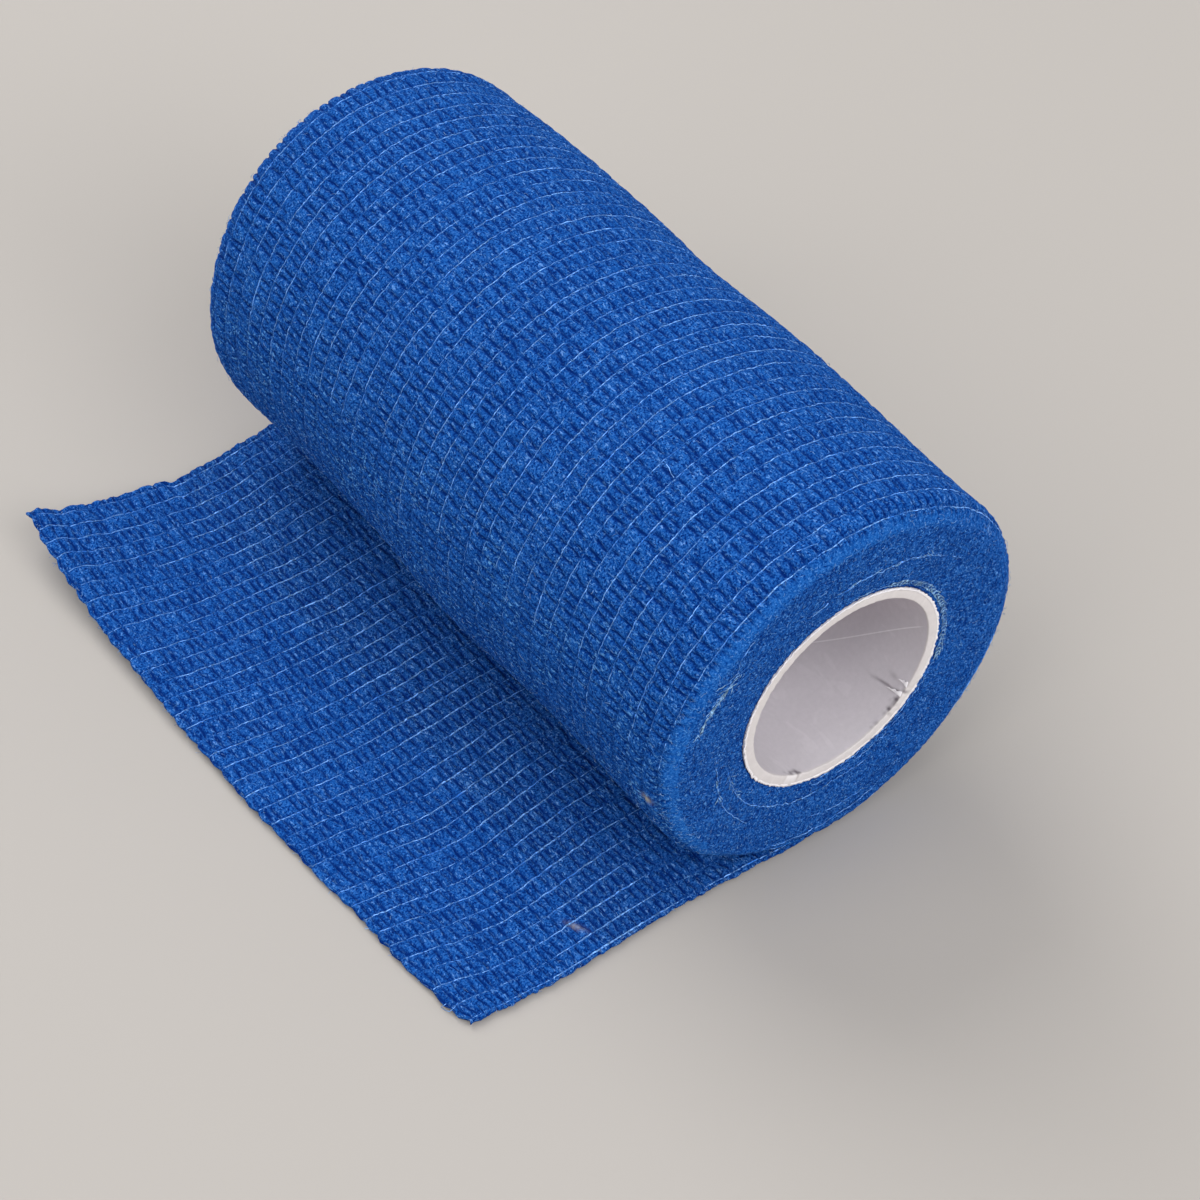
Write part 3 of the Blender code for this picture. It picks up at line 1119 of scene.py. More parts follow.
@dataclass
class SubAssembly:
    """What the sub-assemblies share: their place, their finish and how a mesh becomes a piece."""

    place: Placement
    finish: Finish

    def dress(self) -> None:
        """Makes the material of the sub-assembly's finish."""
        self.material = self.finish.material()

    def settle(self, name: str, mesh: bpy.types.Mesh, slot: str, stands_for: str = "") -> bpy.types.Object:
        """Turns a finished mesh into a piece that rides on the one body, and logs its size.

        Args:
            name: Name of the piece.
            mesh: Its mesh, in the frame's metres.
            slot: Not used.
            stands_for: The solid that it replaces, if any.

        Returns:
            The piece.
        """
        mesh.materials.append(self.material)
        piece = in_scene(name, mesh)
        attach(piece, "root")
        if stands_for:
            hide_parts(stands_for)
        mesh.calc_loop_triangles()
        LOG.info("%s: %d triangles", name, len(mesh.loop_triangles))
        return piece

    def from_grid(self, name: str, points: Array, marks: Marks, sharp: tuple = ()) -> bpy.types.Mesh:
        """Makes a closed mesh from a grid whose last column repeats the first.

        Where the last row repeats the first too, the grid closes into a ring. Otherwise its first
        and last rows are capped.

        Args:
            name: Name of the mesh.
            points: Grid of points in millimetres.
            marks: Grids of what the material reads.
            sharp: Columns along which the shading breaks.

        Returns:
            The mesh.
        """
        rows, columns = points.shape[:2]
        mesh = bpy.data.meshes.new(name)
        with reworked(mesh) as bm:
            bmesh.ops.create_grid(bm, x_segments=rows - 1, y_segments=columns - 1, size=0.5)
        flat = np.empty(len(mesh.vertices) * 3)
        mesh.vertices.foreach_get("co", flat)
        flat = flat.reshape(-1, 3)
        row, column = (
            np.rint((flat[:, i] - flat[:, i].min()) / np.ptp(flat[:, i]) * (count - 1)).astype(int)
            for i, count in enumerate((rows, columns))
        )
        mesh.vertices.foreach_set("co", self.place.metres(points[row, column]).ravel())
        colours = mesh.attributes.new(marks.name, "FLOAT_COLOR", "POINT")
        colours.data.foreach_set("color", marks.values[row, column].ravel())
        lay = mesh.attributes.new("lay", "FLOAT_VECTOR", "POINT")
        lay.data.foreach_set("vector", marks.lay[row, column].ravel())
        if sharp:
            between = np.empty(len(mesh.edges) * 2, int)
            mesh.edges.foreach_get("vertices", between)
            ends = column[between].reshape(-1, 2)
            breaks = (ends[:, 0] == ends[:, 1]) & np.isin(ends[:, 0], sharp)
            mesh.attributes.new("sharp_edge", "BOOLEAN", "EDGE").data.foreach_set("value", breaks)
        with reworked(mesh) as bm:
            seam = [vert for vert in bm.verts if vert.is_boundary]
            bmesh.ops.remove_doubles(bm, verts=seam, dist=1e-7)
            open_ends = [edge for edge in bm.edges if edge.is_boundary]
            if open_ends:
                bmesh.ops.holes_fill(bm, edges=open_ends, sides=0)
                caps = [face for face in bm.faces if len(face.verts) > 4]
                bmesh.ops.triangulate(bm, faces=caps)
            bmesh.ops.recalc_face_normals(bm, faces=bm.faces)
            for face in bm.faces:
                face.smooth = True
        return mesh


@dataclass(frozen=True)
class Mark:
    """A small speck or stain on the cloth, by its place along and across it."""

    along: float
    column: float
    length: float
    width: float
    lean: float
    strength: float


@dataclass
class Bandage(SubAssembly):
    """The cloth's own pieces: the loose end, the outer turn and the wound turns within it."""

    step_along: float = 0.21
    lines_per_column: int = 5
    near_rim_lines: tuple = (0.0, 0.03, 0.08)
    far_rim_lines: tuple = (0.37, 0.30, 0.235, 0.175, 0.12, 0.07, 0.03, 0.01, 0.0)
    cut_rows: tuple = (0.0, 0.02, 0.08, 0.18, 0.32)
    lining_per_column: int = 2
    splits: tuple = (12, 24)
    linings: tuple = ((0.3, 0.9, 1.5, 6.5), (15.0, 21.0), (27.0, 34.6, 35.9))
    last_degrees: float = 262.0
    stains: tuple = ()

    def columns(self, first: float, last: float, per_column: int) -> Array:
        """Column numbers of a patch's lines, with every thread on a line.

        Args:
            first: Column number of the near side.
            last: Column number of the far side.
            per_column: Lines per column.

        Returns:
            Rising column numbers.
        """
        inner = np.arange(math.ceil(first * per_column + 0.01), math.ceil(last * per_column - 0.01))
        near_rim = THREADS.near_column + np.array(self.near_rim_lines)
        far_rim = THREADS.far_column - np.array(self.far_rim_lines)
        start = near_rim if first <= THREADS.near_column else np.array([first])
        stop = far_rim if last >= THREADS.far_column else np.array([last])
        inner = inner / per_column
        inner = inner[(inner > start[-1] + 0.04) & (inner < stop[0] - 0.04)]
        return np.concatenate([start, inner, stop])

    def marks(self, along: Array, columns: Array, dark: Array) -> tuple[Array, Array]:
        """Marks for the cloth's material.

        Args:
            along: Places along the cloth, one per row.
            columns: Column numbers, one per line.
            dark: How deep in a crease each point lies, which sets its painted shade.

        Returns:
            A grid of four-part marks, which are painted crease shade, drawn tight, pale fibres and free of
            stain, and a grid of the lay, which is along, across and the smooth rim with its painted
            highlight.
        """
        rows, lines = along[:, None], columns[None, :]
        on_roll = rows > SHEET.start
        x = LOOSE.cut_station + rows
        band = ease((x + 34.6 - 1.6 * (1.0 - lines / THREADS.last)) / 1.2) * ~on_roll
        angle = np.degrees(SHEET.angle(rows))
        low_side = ramp(angle, 135.0, 45.0) * on_roll
        pale = 1.1 * low_side * (0.6 + 0.6 * noise(rows / 4.0, lines / 1.5, 51)) + 0.2 * band
        # Painted highlight on the near rim's shoulder, weaker where it lies below 25 degrees round the
        # roll.
        facing_up = 0.25 + 0.75 * ramp(angle, 25.0, 55.0)
        rim_felt_and_highlight = ramp(lines, 0.98, -0.4) * on_roll * facing_up
        rim_felt_and_highlight = rim_felt_and_highlight * (0.8 + 0.2 * noise(rows / 2.5, lines * 3.0, 52))
        clean = np.ones(dark.shape)
        for spot in self.stains:
            off_row, off_line = rows - spot.along, (lines - spot.column) * THREADS.pitch
            slanted = off_row - spot.lean * off_line
            off = (slanted / spot.length) ** 2 + (off_line / spot.width) ** 2
            clean = clean - spot.strength * np.exp(-off)
        values = layers(dark, band, pale, np.clip(clean, 0.0, 1.0))
        return values, layers(rows, lines * THREADS.pitch, rim_felt_and_highlight)

    def sheet_piece(
        self, name: str, along: Array, fine: Array, coarse: Array, shown: Face
    ) -> bpy.types.Object:
        """Builds a closed patch of the cloth, fine on the face that shows.

        Args:
            name: Name of the piece.
            along: Places along the cloth.
            fine: Column numbers of the face that shows.
            coarse: Column numbers of the hidden face, between its two sides.
            shown: The face that shows.

        Returns:
            The piece.
        """
        hidden = Face.INNER if shown is Face.OUTER else Face.OUTER
        front, dark = SHEET.surface(along, fine, shown)
        back, back_dark = SHEET.surface(along, coarse[::-1], hidden, shown is Face.INNER)
        points = np.concatenate([front, back, front[:, :1]], axis=1)
        if shown is Face.INNER:
            points[..., 2] = np.maximum(points[..., 2], 0.0)
        values, lay = self.marks(along, fine, dark)
        back_values, back_lay = self.marks(along, coarse[::-1], back_dark)
        marks = Marks(
            "weave",
            np.concatenate([values, back_values, values[:, :1]], axis=1),
            np.concatenate([lay, back_lay, lay[:, :1]], axis=1),
        )
        sharp = []
        if fine[0] > THREADS.near_column:
            sharp += [0, points.shape[1] - 1]
        if fine[-1] < THREADS.far_column:
            sharp.append(len(fine) - 1)
        mesh = self.from_grid(name, points, marks, tuple(sharp))
        return self.settle(name, mesh, "crepe_cloth", "bandage")

    def loose_end(self) -> None:
        """Builds the loose end, from its cut edge to where it leaves the table under the roll."""
        along = np.append(self.cut_rows, np.arange(0.5, SHEET.start, self.step_along))
        along = np.append(along, SHEET.start)
        fine = self.columns(THREADS.near_column, THREADS.far_column, self.lines_per_column)
        coarse = self.columns(THREADS.near_column, THREADS.far_column, self.lining_per_column)[1:-1]
        piece = self.sheet_piece("loose_end", along, fine, coarse, Face.INNER)

    def outer_turn(self) -> None:
        """Builds the outer turn in three strips that meet along threads."""
        stop = SHEET.along_at(self.last_degrees)
        along = np.linspace(SHEET.start, stop, int((stop - SHEET.start) / self.step_along))
        along[0] = SHEET.start + 1e-6
        bounds = (THREADS.near_column, *self.splits, THREADS.far_column)
        for name, first, last, lining in zip(("near", "middle", "far"), bounds, bounds[1:], self.linings):
            fine = self.columns(first, last, self.lines_per_column)
            piece = self.sheet_piece(f"outer_turn_{name}", along, fine, np.array(lining), Face.OUTER)

    def wound_turns(self) -> None:
        """Builds the turns inside the outer one, with the wound edges at both ends."""
        mesh = self.from_grid("wound_turns", *WoundTurns().grid())
        self.settle("wound_turns", mesh, "crepe_cloth", "bandage")


@dataclass(frozen=True)
class WoundTurns:
    """The inner turns as one ring: two dished faces of wound edges and a bore for the tube."""

    bore: float = 14.70
    under_layer: float = 0.85
    shoulder_near: float = 2.4
    shoulder_far: float = 3.0
    shoulder_below: float = 1.3
    face_start: float = 0.12
    dish: float = 0.68
    turn_pitch: float = 0.46
    angle_steps: int = 620
    face_rings: int = 42
    shoulder_rings: int = 9
    side_rings: int = 4

    def rim_radius(self, angle: Array) -> Array:
        """Outside radius of the ring, one layer inside the outer turn."""
        at_top = ROLL.spiral(np.radians(90.0))
        step = ramp(np.degrees(angle), -90.0, 14.0) - ramp(np.degrees(angle), 256.0, 14.0)
        return at_top - self.under_layer + step * (ROLL.spiral(angle) - at_top)

    def rounding(self, angle: Array, end: End) -> Array:
        """Radius of the ring's rounded rim at one end, smaller underneath."""
        full = self.shoulder_near if end is End.NEAR else self.shoulder_far
        below = 1.0 - ramp(ROLL.from_underside(angle), 20.0, 45.0)
        return full + (self.shoulder_below - full) * below

    def face_height(self, angle: Array, radius: Array, share: Array, end: End) -> tuple[Array, Array]:
        """How far a wound face sinks in from the roll's end.

        Args:
            angle: Angles round the roll.
            radius: Distances from the axis.
            share: 0 at the rim to 1 at the tube.
            end: Which end.

        Returns:
            Sink and how dark it is.
        """
        seed = 60 if end is End.NEAR else 70
        turns = angle / TURN
        lap = radius / self.turn_pitch + turns + 0.35 * noise(turns * 24, radius / 2.0, seed, 24)
        ridge = np.abs((lap % 1.0) * 2.0 - 1.0)
        strong = 0.5 + 0.5 * noise(turns * 40, radius / 1.2, seed + 1, 40)
        grain = noise(turns * 300, radius / 0.36, seed + 2, 300)
        fine = noise(turns * 560, radius / 0.24, seed + 3, 560)
        broad = noise(turns * 16, radius / 4.0, seed + 4, 16)
        relief = 0.06 * ridge * strong + 0.07 * grain + 0.06 * fine + 0.12 * broad
        dark = 0.11 + 0.14 * ridge * strong + 0.42 * grain + 0.38 * fine + 0.06 * broad
        return self.face_start + self.dish * share ** 2 + relief, np.clip(dark, 0.0, 1.0)

    def face_point(self, angle: Array, radius: Array, end: End) -> Array:
        """Points of a wound face.

        Args:
            angle: Angles round the roll.
            radius: Distances from the axis.
            end: Which end.

        Returns:
            The points, in millimetres.
        """
        outer = self.rim_radius(angle) - self.rounding(angle, end)
        share = np.clip((outer - radius) / (outer - self.bore), 0.0, 1.0)
        sink, _ = self.face_height(angle, radius, share, end)
        y = sink if end is End.NEAR else ROLL.width - sink
        return about_axis(radius, angle, y)

    def end_profile(self, angle: Array, end: End) -> tuple[Array, Array, Array]:
        """Works out one end, from the bore to the outside.

        Args:
            angle: Angles round the roll, as a column.
            end: Which end.

        Returns:
            Radii, places along the axis and darkness, as grids.
        """
        ring = np.linspace(0.0, 1.0, self.face_rings + 1)[None, :]
        rim = self.rounding(angle, end)
        outer = self.rim_radius(angle) - rim
        radius = self.bore + (outer - self.bore) * ring
        sink, dark = self.face_height(angle, radius, 1.0 - ring, end)
        swell = ROLL.swell(angle, np.full_like(angle, 2.0 if end is End.NEAR else 98.0))
        turn = np.linspace(0.0, math.pi / 2, self.shoulder_rings + 1)[None, 1:]
        curved = outer + rim * np.sin(turn) + swell
        grain = noise(angle / TURN * 420, curved / 0.3 + turn * 6, 81, 420)
        deep = self.face_start + rim * (1.0 - np.cos(turn)) + 0.05 * grain
        deep = deep + (sink[:, -1:] - self.face_start) * (1.0 - turn / (math.pi / 2))
        # Painted shade: the wound face's innermost ring, where it meets the tube, is darkened nearly to
        # the crease colour.
        dark[:, :1] = 0.9
        radius = np.concatenate([radius + swell * ring, curved], axis=1)
        sink = np.concatenate([sink, deep], axis=1)
        dark = np.concatenate([dark, np.clip(0.1 + 0.3 * grain, 0.0, 1.0)], axis=1)
        return radius, sink if end is End.NEAR else ROLL.width - sink, dark

    def grid(self) -> tuple[Array, Marks]:
        """Works out the ring's points and marks.

        Returns:
            Points in millimetres, and the material's marks.
        """
        angle = np.linspace(-math.pi / 2, 1.5 * math.pi, self.angle_steps + 1)[:, None]
        near_r, near_y, near_dark = self.end_profile(angle, End.NEAR)
        far_r, far_y, far_dark = self.end_profile(angle, End.FAR)
        share = np.linspace(0.0, 1.0, self.side_rings + 2)[None, 1:-1]
        side_r = near_r[:, -1:] + (far_r[:, -1:] - near_r[:, -1:]) * share
        side_y = near_y[:, -1:] + (far_y[:, -1:] - near_y[:, -1:]) * share
        bore_y = far_y[:, :1] + (near_y[:, :1] - far_y[:, :1]) * share
        plain = np.zeros_like(side_r)
        radius = np.concatenate([near_r, side_r, far_r[:, ::-1], plain + self.bore, near_r[:, :1]], axis=1)
        y = np.concatenate([near_y, side_y, far_y[:, ::-1], bore_y, near_y[:, :1]], axis=1)
        dark = np.concatenate([near_dark, plain, far_dark[:, ::-1], plain, near_dark[:, :1]], axis=1)
        points = about_axis(radius, angle, y)
        points[..., 2] = np.maximum(points[..., 2], ROLL.layer - 0.1)
        points[-1] = points[0]
        marks = layers(dark, 0.0, 0.35, 1.0)
        lay = layers(radius / 0.8, radius * 0.8 * np.sin(angle * 2.0), -1.0)
        marks[-1], lay[-1] = marks[0], lay[0]
        return points, Marks("weave", marks, lay)


@dataclass(frozen=True)
class FaceThread:
    """A thread end or frayed fibre that shows on the near wound face."""

    degrees: tuple
    radii: tuple
    width: float = 0.8
    curl: float = 0.06
    proud: float = 0.5
    loops: float = 0.0


FACE_THREADS = (
    FaceThread(
        (98.0, 84.0, 76.0, 69.0, 54.0, 44.0), (18.6, 18.62, 18.81, 19.25, 19.68, 19.9), 0.9, 0.08, 0.9
    ),
    FaceThread((78.0, 66.0, 55.0, 40.0), (18.9, 19.5, 19.8, 20.3), 0.8, 0.10, 0.6),
    FaceThread((111.0, 104.0), (18.1, 18.4), 1.0, 0.10, 1.0),
    FaceThread(
        (178.0, 188.0, 196.0, 204.0, 216.0, 228.0), (19.0, 18.8, 19.2, 19.42, 19.72, 20.1), 0.8, 0.09, 0.8
    ),
    FaceThread(
        (189.0, 200.0, 218.0, 240.0, 249.0, 270.0, 287.0),
        (17.2, 17.28, 17.57, 17.48, 17.6, 17.05, 17.3), 0.95, 0.09, 1.0,
    ),
    FaceThread((-18.0, -96.0), (15.4, 15.3), 0.75, 0.10, 0.7, 0.10),
    FaceThread((-48.0, -100.0), (16.3, 16.1), 0.7, 0.14, 0.5),
    FaceThread((-104.0, -76.0), (21.2, 22.5), 0.7, 0.12, 0.6),
    FaceThread((-116.0, -72.0), (24.5, 24.1), 0.9, 0.10, 0.9),
    FaceThread((141.0, 135.0, 129.5), (22.3, 23.66, 24.13), 0.6, 0.12, 0.5),
    FaceThread((122.0, 104.0), (21.2, 20.9), 0.4, 0.25, 0.1),
)

CHAIN_ROUND_CORE = (
    FaceThread((70.0, -16.0), (15.55, 15.6), 0.6, 0.12, 1.6, 0.36),
    FaceThread((70.0, -16.0), (15.55, 15.6), 0.6, 0.12, 1.6, -0.36),
    FaceThread((92.0, 60.0, 20.0), (15.1, 15.25, 15.2), 0.6, 0.08, 0.6),
)


@dataclass(frozen=True)
class Fray:
    """A bundle of short frayed fibres along an arc of the near wound face."""

    from_radius: float
    to_radius: float
    from_degrees: float
    to_degrees: float
    spread: float
    count: int


FRAYS = (
    Fray(22.2, 23.5, 139.0, 161.0, 0.26, 54),
    Fray(17.25, 17.35, 188.0, 212.0, 0.07, 9),
    Fray(18.9, 19.5, 182.0, 212.0, 0.05, 5),
    Fray(18.6, 19.7, 97.0, 54.0, 0.06, 12),
)


@dataclass(frozen=True)
class Snag:
    """A stray end of thread on the cloth, through places given as along and column."""

    face: Face
    route: tuple
    width: float
    lift: float = 0.12


SNAGS = (
    Snag(Face.OUTER, ((153.9, 1.93), (154.1, 1.97), (154.25, 2.0)), 2.0, 0.16),
    Snag(Face.OUTER, ((147.9, 1.66), (147.1, 1.55), (146.2, 1.47), (145.6, 1.40)), 0.95),
    Snag(Face.OUTER, ((150.9, 8.72), (151.0, 8.5), (151.3, 8.25), (151.4, 8.02)), 0.8),
    Snag(Face.INNER, ((1.2, 1.0), (0.3, 0.9), (-0.7, 0.8), (-1.1, 0.95), (-0.8, 1.15), (0.2, 1.2)), 0.8),
)


@dataclass
class Threads(SubAssembly):
    """The elastic threads that run along the cloth, half sunk between its puffs."""

    radius: float = 0.067
    step: float = 0.36
    face_step: float = 0.13
    fray_step: float = 0.12
    fray_seed: int = 17

    def tubes(self, name: str, paths: list[Array], widths: list[Array]) -> None:
        """Turns paths into one piece of thin tubes.

        Args:
            name: Name of the piece.
            paths: Points of each path in millimetres.
            widths: Share of the thread's radius at each point.
        """
        curve = bpy.data.curves.new(name, "CURVE")
        curve.dimensions = "3D"
        curve.bevel_depth = self.radius * MM
        curve.bevel_resolution = 0
        curve.use_fill_caps = True
        for path, width in zip(paths, widths):
            line = curve.splines.new("POLY")
            line.points.add(len(path) - 1)
            points = np.ones((len(path), 4))
            points[:, :3] = self.place.metres(path)
            line.points.foreach_set("co", points.ravel())
            line.points.foreach_set("radius", np.broadcast_to(width, len(path)).astype(float))
        shape = in_scene(name, curve)
        mesh = bpy.data.meshes.new_from_object(shape)
        bpy.data.objects.remove(shape)
        with reworked(mesh) as bm:
            bmesh.ops.recalc_face_normals(bm, faces=bm.faces)
        mesh.materials.clear()
        mesh.shade_smooth()
        self.settle(name, mesh, "crepe_cloth")

    def lengthwise(self, along: Array, face: Face) -> tuple[list, list]:
        """Paths of all the threads on one face of the cloth.

        Args:
            along: Places along the cloth.
            face: The face they show on.

        Returns:
            Paths and widths.
        """
        numbers = np.arange(THREADS.count, dtype=float)
        points, _ = SHEET.surface(along, numbers, face)
        beside = CREPE.relief(along, numbers + 0.22)[1] + CREPE.relief(along, numbers - 0.22)[1]
        angle = SHEET.angle(along)
        x = LOOSE.cut_station + along
        if face is Face.OUTER:
            deep = 0.09 * ramp(np.degrees(angle), 150.0, 34.0)
            swollen = np.ones_like(along)
        else:
            deep = 0.10 * ramp(x, -27.0, 8.0)
            swollen = 1.0 + 0.6 * ramp(x, -35.5, 2.0) * (1.0 - 0.6 * ramp(x, -28.0, 6.0))
        paths, widths = [], []
        for number in range(THREADS.count):
            path = points[:, number].copy()
            row = np.full_like(along, number * 7.3)
            proud = 0.04 * noise(along / 1.3, row, 91) + 0.05 * noise(along / 7.0, row, 92) - deep
            proud = proud + 0.02 - 0.06 * np.minimum(beside[:, number], 1.0)
            if face is Face.INNER:
                path[:, 2] += proud + 0.03 - 0.04 * ramp(along, 20.0, -3.0)
            else:
                path[:, 0] += proud * np.cos(angle)
                path[:, 2] += proud * np.sin(angle)
            width = swollen * (1.0 + 0.25 * noise(along / 0.8, row, 93))
            for part in self.shown(number, np.degrees(angle), face):
                paths.append(path[part])
                widths.append(width[part])
        return paths, widths

    def shown(self, number: int, degrees: Array, face: Face) -> list[Array]:
        """Where a thread shows: the edge thread is buried in the felted rim but for its underside.

        Args:
            number: Number of the thread.
            degrees: Angle round the roll of each place.
            face: The face it shows on.

        Returns:
            Index lists, one for each stretch.
        """
        everywhere = np.arange(len(degrees))
        if number > 0 or face is Face.INNER:
            return [everywhere]
        return [everywhere[degrees < -12.0], everywhere[degrees > 226.0]]

    def on_roll(self) -> None:
        """Builds the threads of the outer turn."""
        along = np.arange(SHEET.start + 0.05, SHEET.along_at(256.0), self.step)
        self.tubes("threads_on_roll", *self.lengthwise(along, Face.OUTER))

    def on_loose_end(self) -> None:
        """Builds the threads of the loose end."""
        along = np.arange(0.15, SHEET.start, self.step)
        self.tubes("threads_on_loose_end", *self.lengthwise(along, Face.INNER))

    def on_face(self, name: str, threads: tuple[FaceThread, ...]) -> None:
        """Builds thread ends that show on the near wound face.

        Args:
            name: Name of the piece.
            threads: The thread ends.
        """
        ring = WoundTurns()
        paths, widths = [], []
        for number, one in enumerate(threads):
            mean = sum(one.radii) / len(one.radii)
            swept = abs(math.radians(one.degrees[-1] - one.degrees[0])) * mean
            count = int(swept / self.face_step) + 3
            share = np.linspace(0.0, 1.0, count)
            corners = np.linspace(0.0, 1.0, len(one.degrees))
            angle = np.radians(np.interp(share, corners, one.degrees))
            radius = np.interp(share, corners, one.radii)
            row = np.full_like(share, number * 5.7)
            arc = share * count * self.face_step
            radius = radius + one.curl * (noise(arc / 0.9, row, 95) + 0.5 * noise(arc / 0.4, row, 96))
            loop = arc * TURN / 1.3 + 1.2 * noise(arc / 1.7, arc * 0.0, 94)
            radius = radius + one.loops * np.sin(loop)
            angle = angle + np.abs(one.loops) / mean * np.cos(2.0 * loop)
            path = ring.face_point(angle, radius, End.NEAR)
            out = 0.10 * noise(arc / 1.1, row, 97) + 0.12 * (one.proud - 0.45)
            path[:, 1] -= out
            paths.append(path)
            widths.append(one.width * (1.0 + 0.25 * noise(arc / 0.5, row, 98)))
        self.tubes(name, paths, widths)

    def frays(self) -> None:
        """Builds the bundles of short frayed fibres on the near wound face."""
        ring = WoundTurns()
        draw = np.random.default_rng(self.fray_seed)
        paths, widths = [], []
        for bundle in FRAYS:
            for share in draw.random(bundle.count):
                mean = bundle.from_radius + (bundle.to_radius - bundle.from_radius) * share
                degrees = bundle.from_degrees + (bundle.to_degrees - bundle.from_degrees) * share
                arc = np.arange(0.0, draw.uniform(0.5, 1.5), self.fray_step)
                lean, seed = draw.normal(0.10, 0.40), int(draw.integers(1000))
                squiggle = 0.10 * noise(arc / 0.28, arc * 0.0 + seed, 87)
                radius = mean + draw.normal(0.0, bundle.spread) + lean * arc + squiggle
                angle = math.radians(degrees) + arc / mean
                path = ring.face_point(angle, radius, End.NEAR)
                path[:, 1] -= draw.uniform(-0.02, 0.10)
                paths.append(path)
                widths.append(0.50 * np.sin(math.pi * (0.12 + 0.8 * arc / arc[-1])) + 0.25)
        self.tubes("frays_on_face", paths, widths)

    def snags(self) -> None:
        """Builds the stray thread ends."""
        paths, widths = [], []
        for snag in SNAGS:
            along, column = (np.array(part, float) for part in zip(*snag.route))
            if snag.face is Face.OUTER:
                points, facing = SHEET.roll_surface(along, column)
                points = points + facing * snag.lift
            else:
                points, _ = SHEET.loose_surface(along, column)
                points[:, 2] += 0.85 + snag.lift
            paths.append(points)
            widths.append(np.full(len(points), snag.width))
        self.tubes("stray_threads", paths, widths)


@dataclass
class Fuzz:
    """Fine fibres that stand off the cloth, thickest low on the roll's open side."""

    threads: Threads
    seed: int = 7
    width: float = 0.32
    height: float = 0.3
    last_column: float = 36.2
    far_rim_column: float = 36.35
    roll_count: int = 4600
    loose_count: int = 620
    cut_count: int = 170
    edge_count: int = 90
    face_count: int = 620
    rim_count: int = 420

    def grow(self, name: str, hairs: list[Array]) -> None:
        """Turns hairs into one piece."""
        self.threads.tubes(name, hairs, [self.width] * len(hairs))

    def hairs(
        self, draw: np.random.Generator, base: Array, facing: Array, length: tuple, rise: float
    ) -> list[Array]:
        """Grows a hair at each base point.

        Args:
            draw: The source of chance.
            base: Where the hairs start.
            facing: The way in which the surface looks there.
            length: Least and greatest length.
            rise: How high the hairs may bow.

        Returns:
            The hairs' paths.
        """
        count = len(base)
        way = draw.normal(size=(count, 3))
        way -= facing * (way * facing).sum(axis=1, keepdims=True)
        way /= np.linalg.norm(way, axis=1, keepdims=True)
        side = np.cross(facing, way)
        span = draw.uniform(*length, count)[:, None]
        curl = draw.normal(0.0, 0.45, count)[:, None]
        height = draw.uniform(0.1, 1.0, count)[:, None] * rise
        steps = []
        for share in (0.0, 0.35, 0.7, 1.0):
            step = base + way * span * share + side * curl * span * share ** 2
            steps.append(step + facing * (height * math.sin(2.3 * share) - 0.04))
        return list(np.stack(steps, axis=1))

    def on_roll(self) -> None:
        """Grows the roll's fibres."""
        draw = np.random.default_rng(self.seed)
        along = draw.uniform(SHEET.start, SHEET.along_at(212.0), self.roll_count)
        column = draw.uniform(0.0, self.last_column, self.roll_count)
        degrees = np.degrees(SHEET.angle(along))
        clump = 0.5 + 0.5 * noise(along / 3.5, column / 1.4, 41)
        weight = 0.16 + 0.95 * ramp(degrees, 150.0, 40.0) * clump
        keep = draw.random(self.roll_count) < weight
        base, facing = SHEET.roll_surface(along[keep], column[keep])
        self.grow("fibres_on_roll", self.hairs(draw, base, facing, (0.2, 0.75), self.height))

    def on_loose_end(self) -> None:
        """Grows the loose end's fibres, with more of them along its cut edge."""
        draw = np.random.default_rng(self.seed + 1)
        within = draw.uniform(0.3, 56.0, self.loose_count)
        along = np.append(within, draw.uniform(-0.1, 0.3, self.cut_count))
        column = draw.uniform(0.0, self.last_column, len(along))
        along = np.append(along, draw.uniform(0.5, 48.0, self.edge_count))
        column = np.append(column, np.full(self.edge_count, -0.1))
        base, facing = SHEET.loose_surface(along, column)
        base[:, 2] += 0.62
        self.grow("fibres_on_loose_end", self.hairs(draw, base, -facing, (0.2, 0.75), self.height))

    def on_ends(self) -> None:
        """Grows short fibres on the near wound face and round both rims."""
        draw = np.random.default_rng(self.seed + 2)
        angle = draw.uniform(-math.pi / 2, 1.5 * math.pi, self.face_count)
        radius = draw.uniform(14.9, 23.8, self.face_count)
        face = WoundTurns().face_point(angle, radius, End.NEAR)
        look = np.tile(np.array([0.0, -1.0, 0.0]), (self.face_count, 1))
        paths = self.hairs(draw, face, look, (0.15, 0.45), 0.2)
        along = draw.uniform(SHEET.start, SHEET.along_at(225.0), self.rim_count)
        at_near_rim = draw.random(self.rim_count) < 0.6
        near_column = draw.uniform(-0.15, 0.9, self.rim_count)
        column = np.where(at_near_rim, near_column, self.far_rim_column)
        base, facing = SHEET.roll_surface(along, column)
        paths += self.hairs(draw, base, facing, (0.2, 0.6), self.height)
        self.grow("fibres_on_ends", paths)


@dataclass(frozen=True)
class Sliver:
    """A sliver of paper torn loose at the near rim of the bore."""

    name: str
    rim_degrees: float
    tip_degrees: float
    depth: float
    width: float
    lift: float


SLIVERS = (
    Sliver("torn_paper_long", -39.6, -40.2, 1.9, 0.50, 0.75),
    Sliver("torn_paper_short", -33.4, -32.4, 1.2, 0.55, 0.50),
)


@dataclass(frozen=True)
class DarkSpot:
    """A soft dark spot in the bore, near its worn rim."""

    degrees: float
    y: float
    half_width: float
    half_depth: float
    strength: float

    def at(self, degrees: Array, y: Array, radius: float) -> Array:
        """How dark this spot makes places on a bore of the given radius."""
        off = np.radians(degrees - self.degrees) * radius / self.half_width
        return self.strength * np.exp(-off ** 2 - ((y - self.y) / self.half_depth) ** 2)


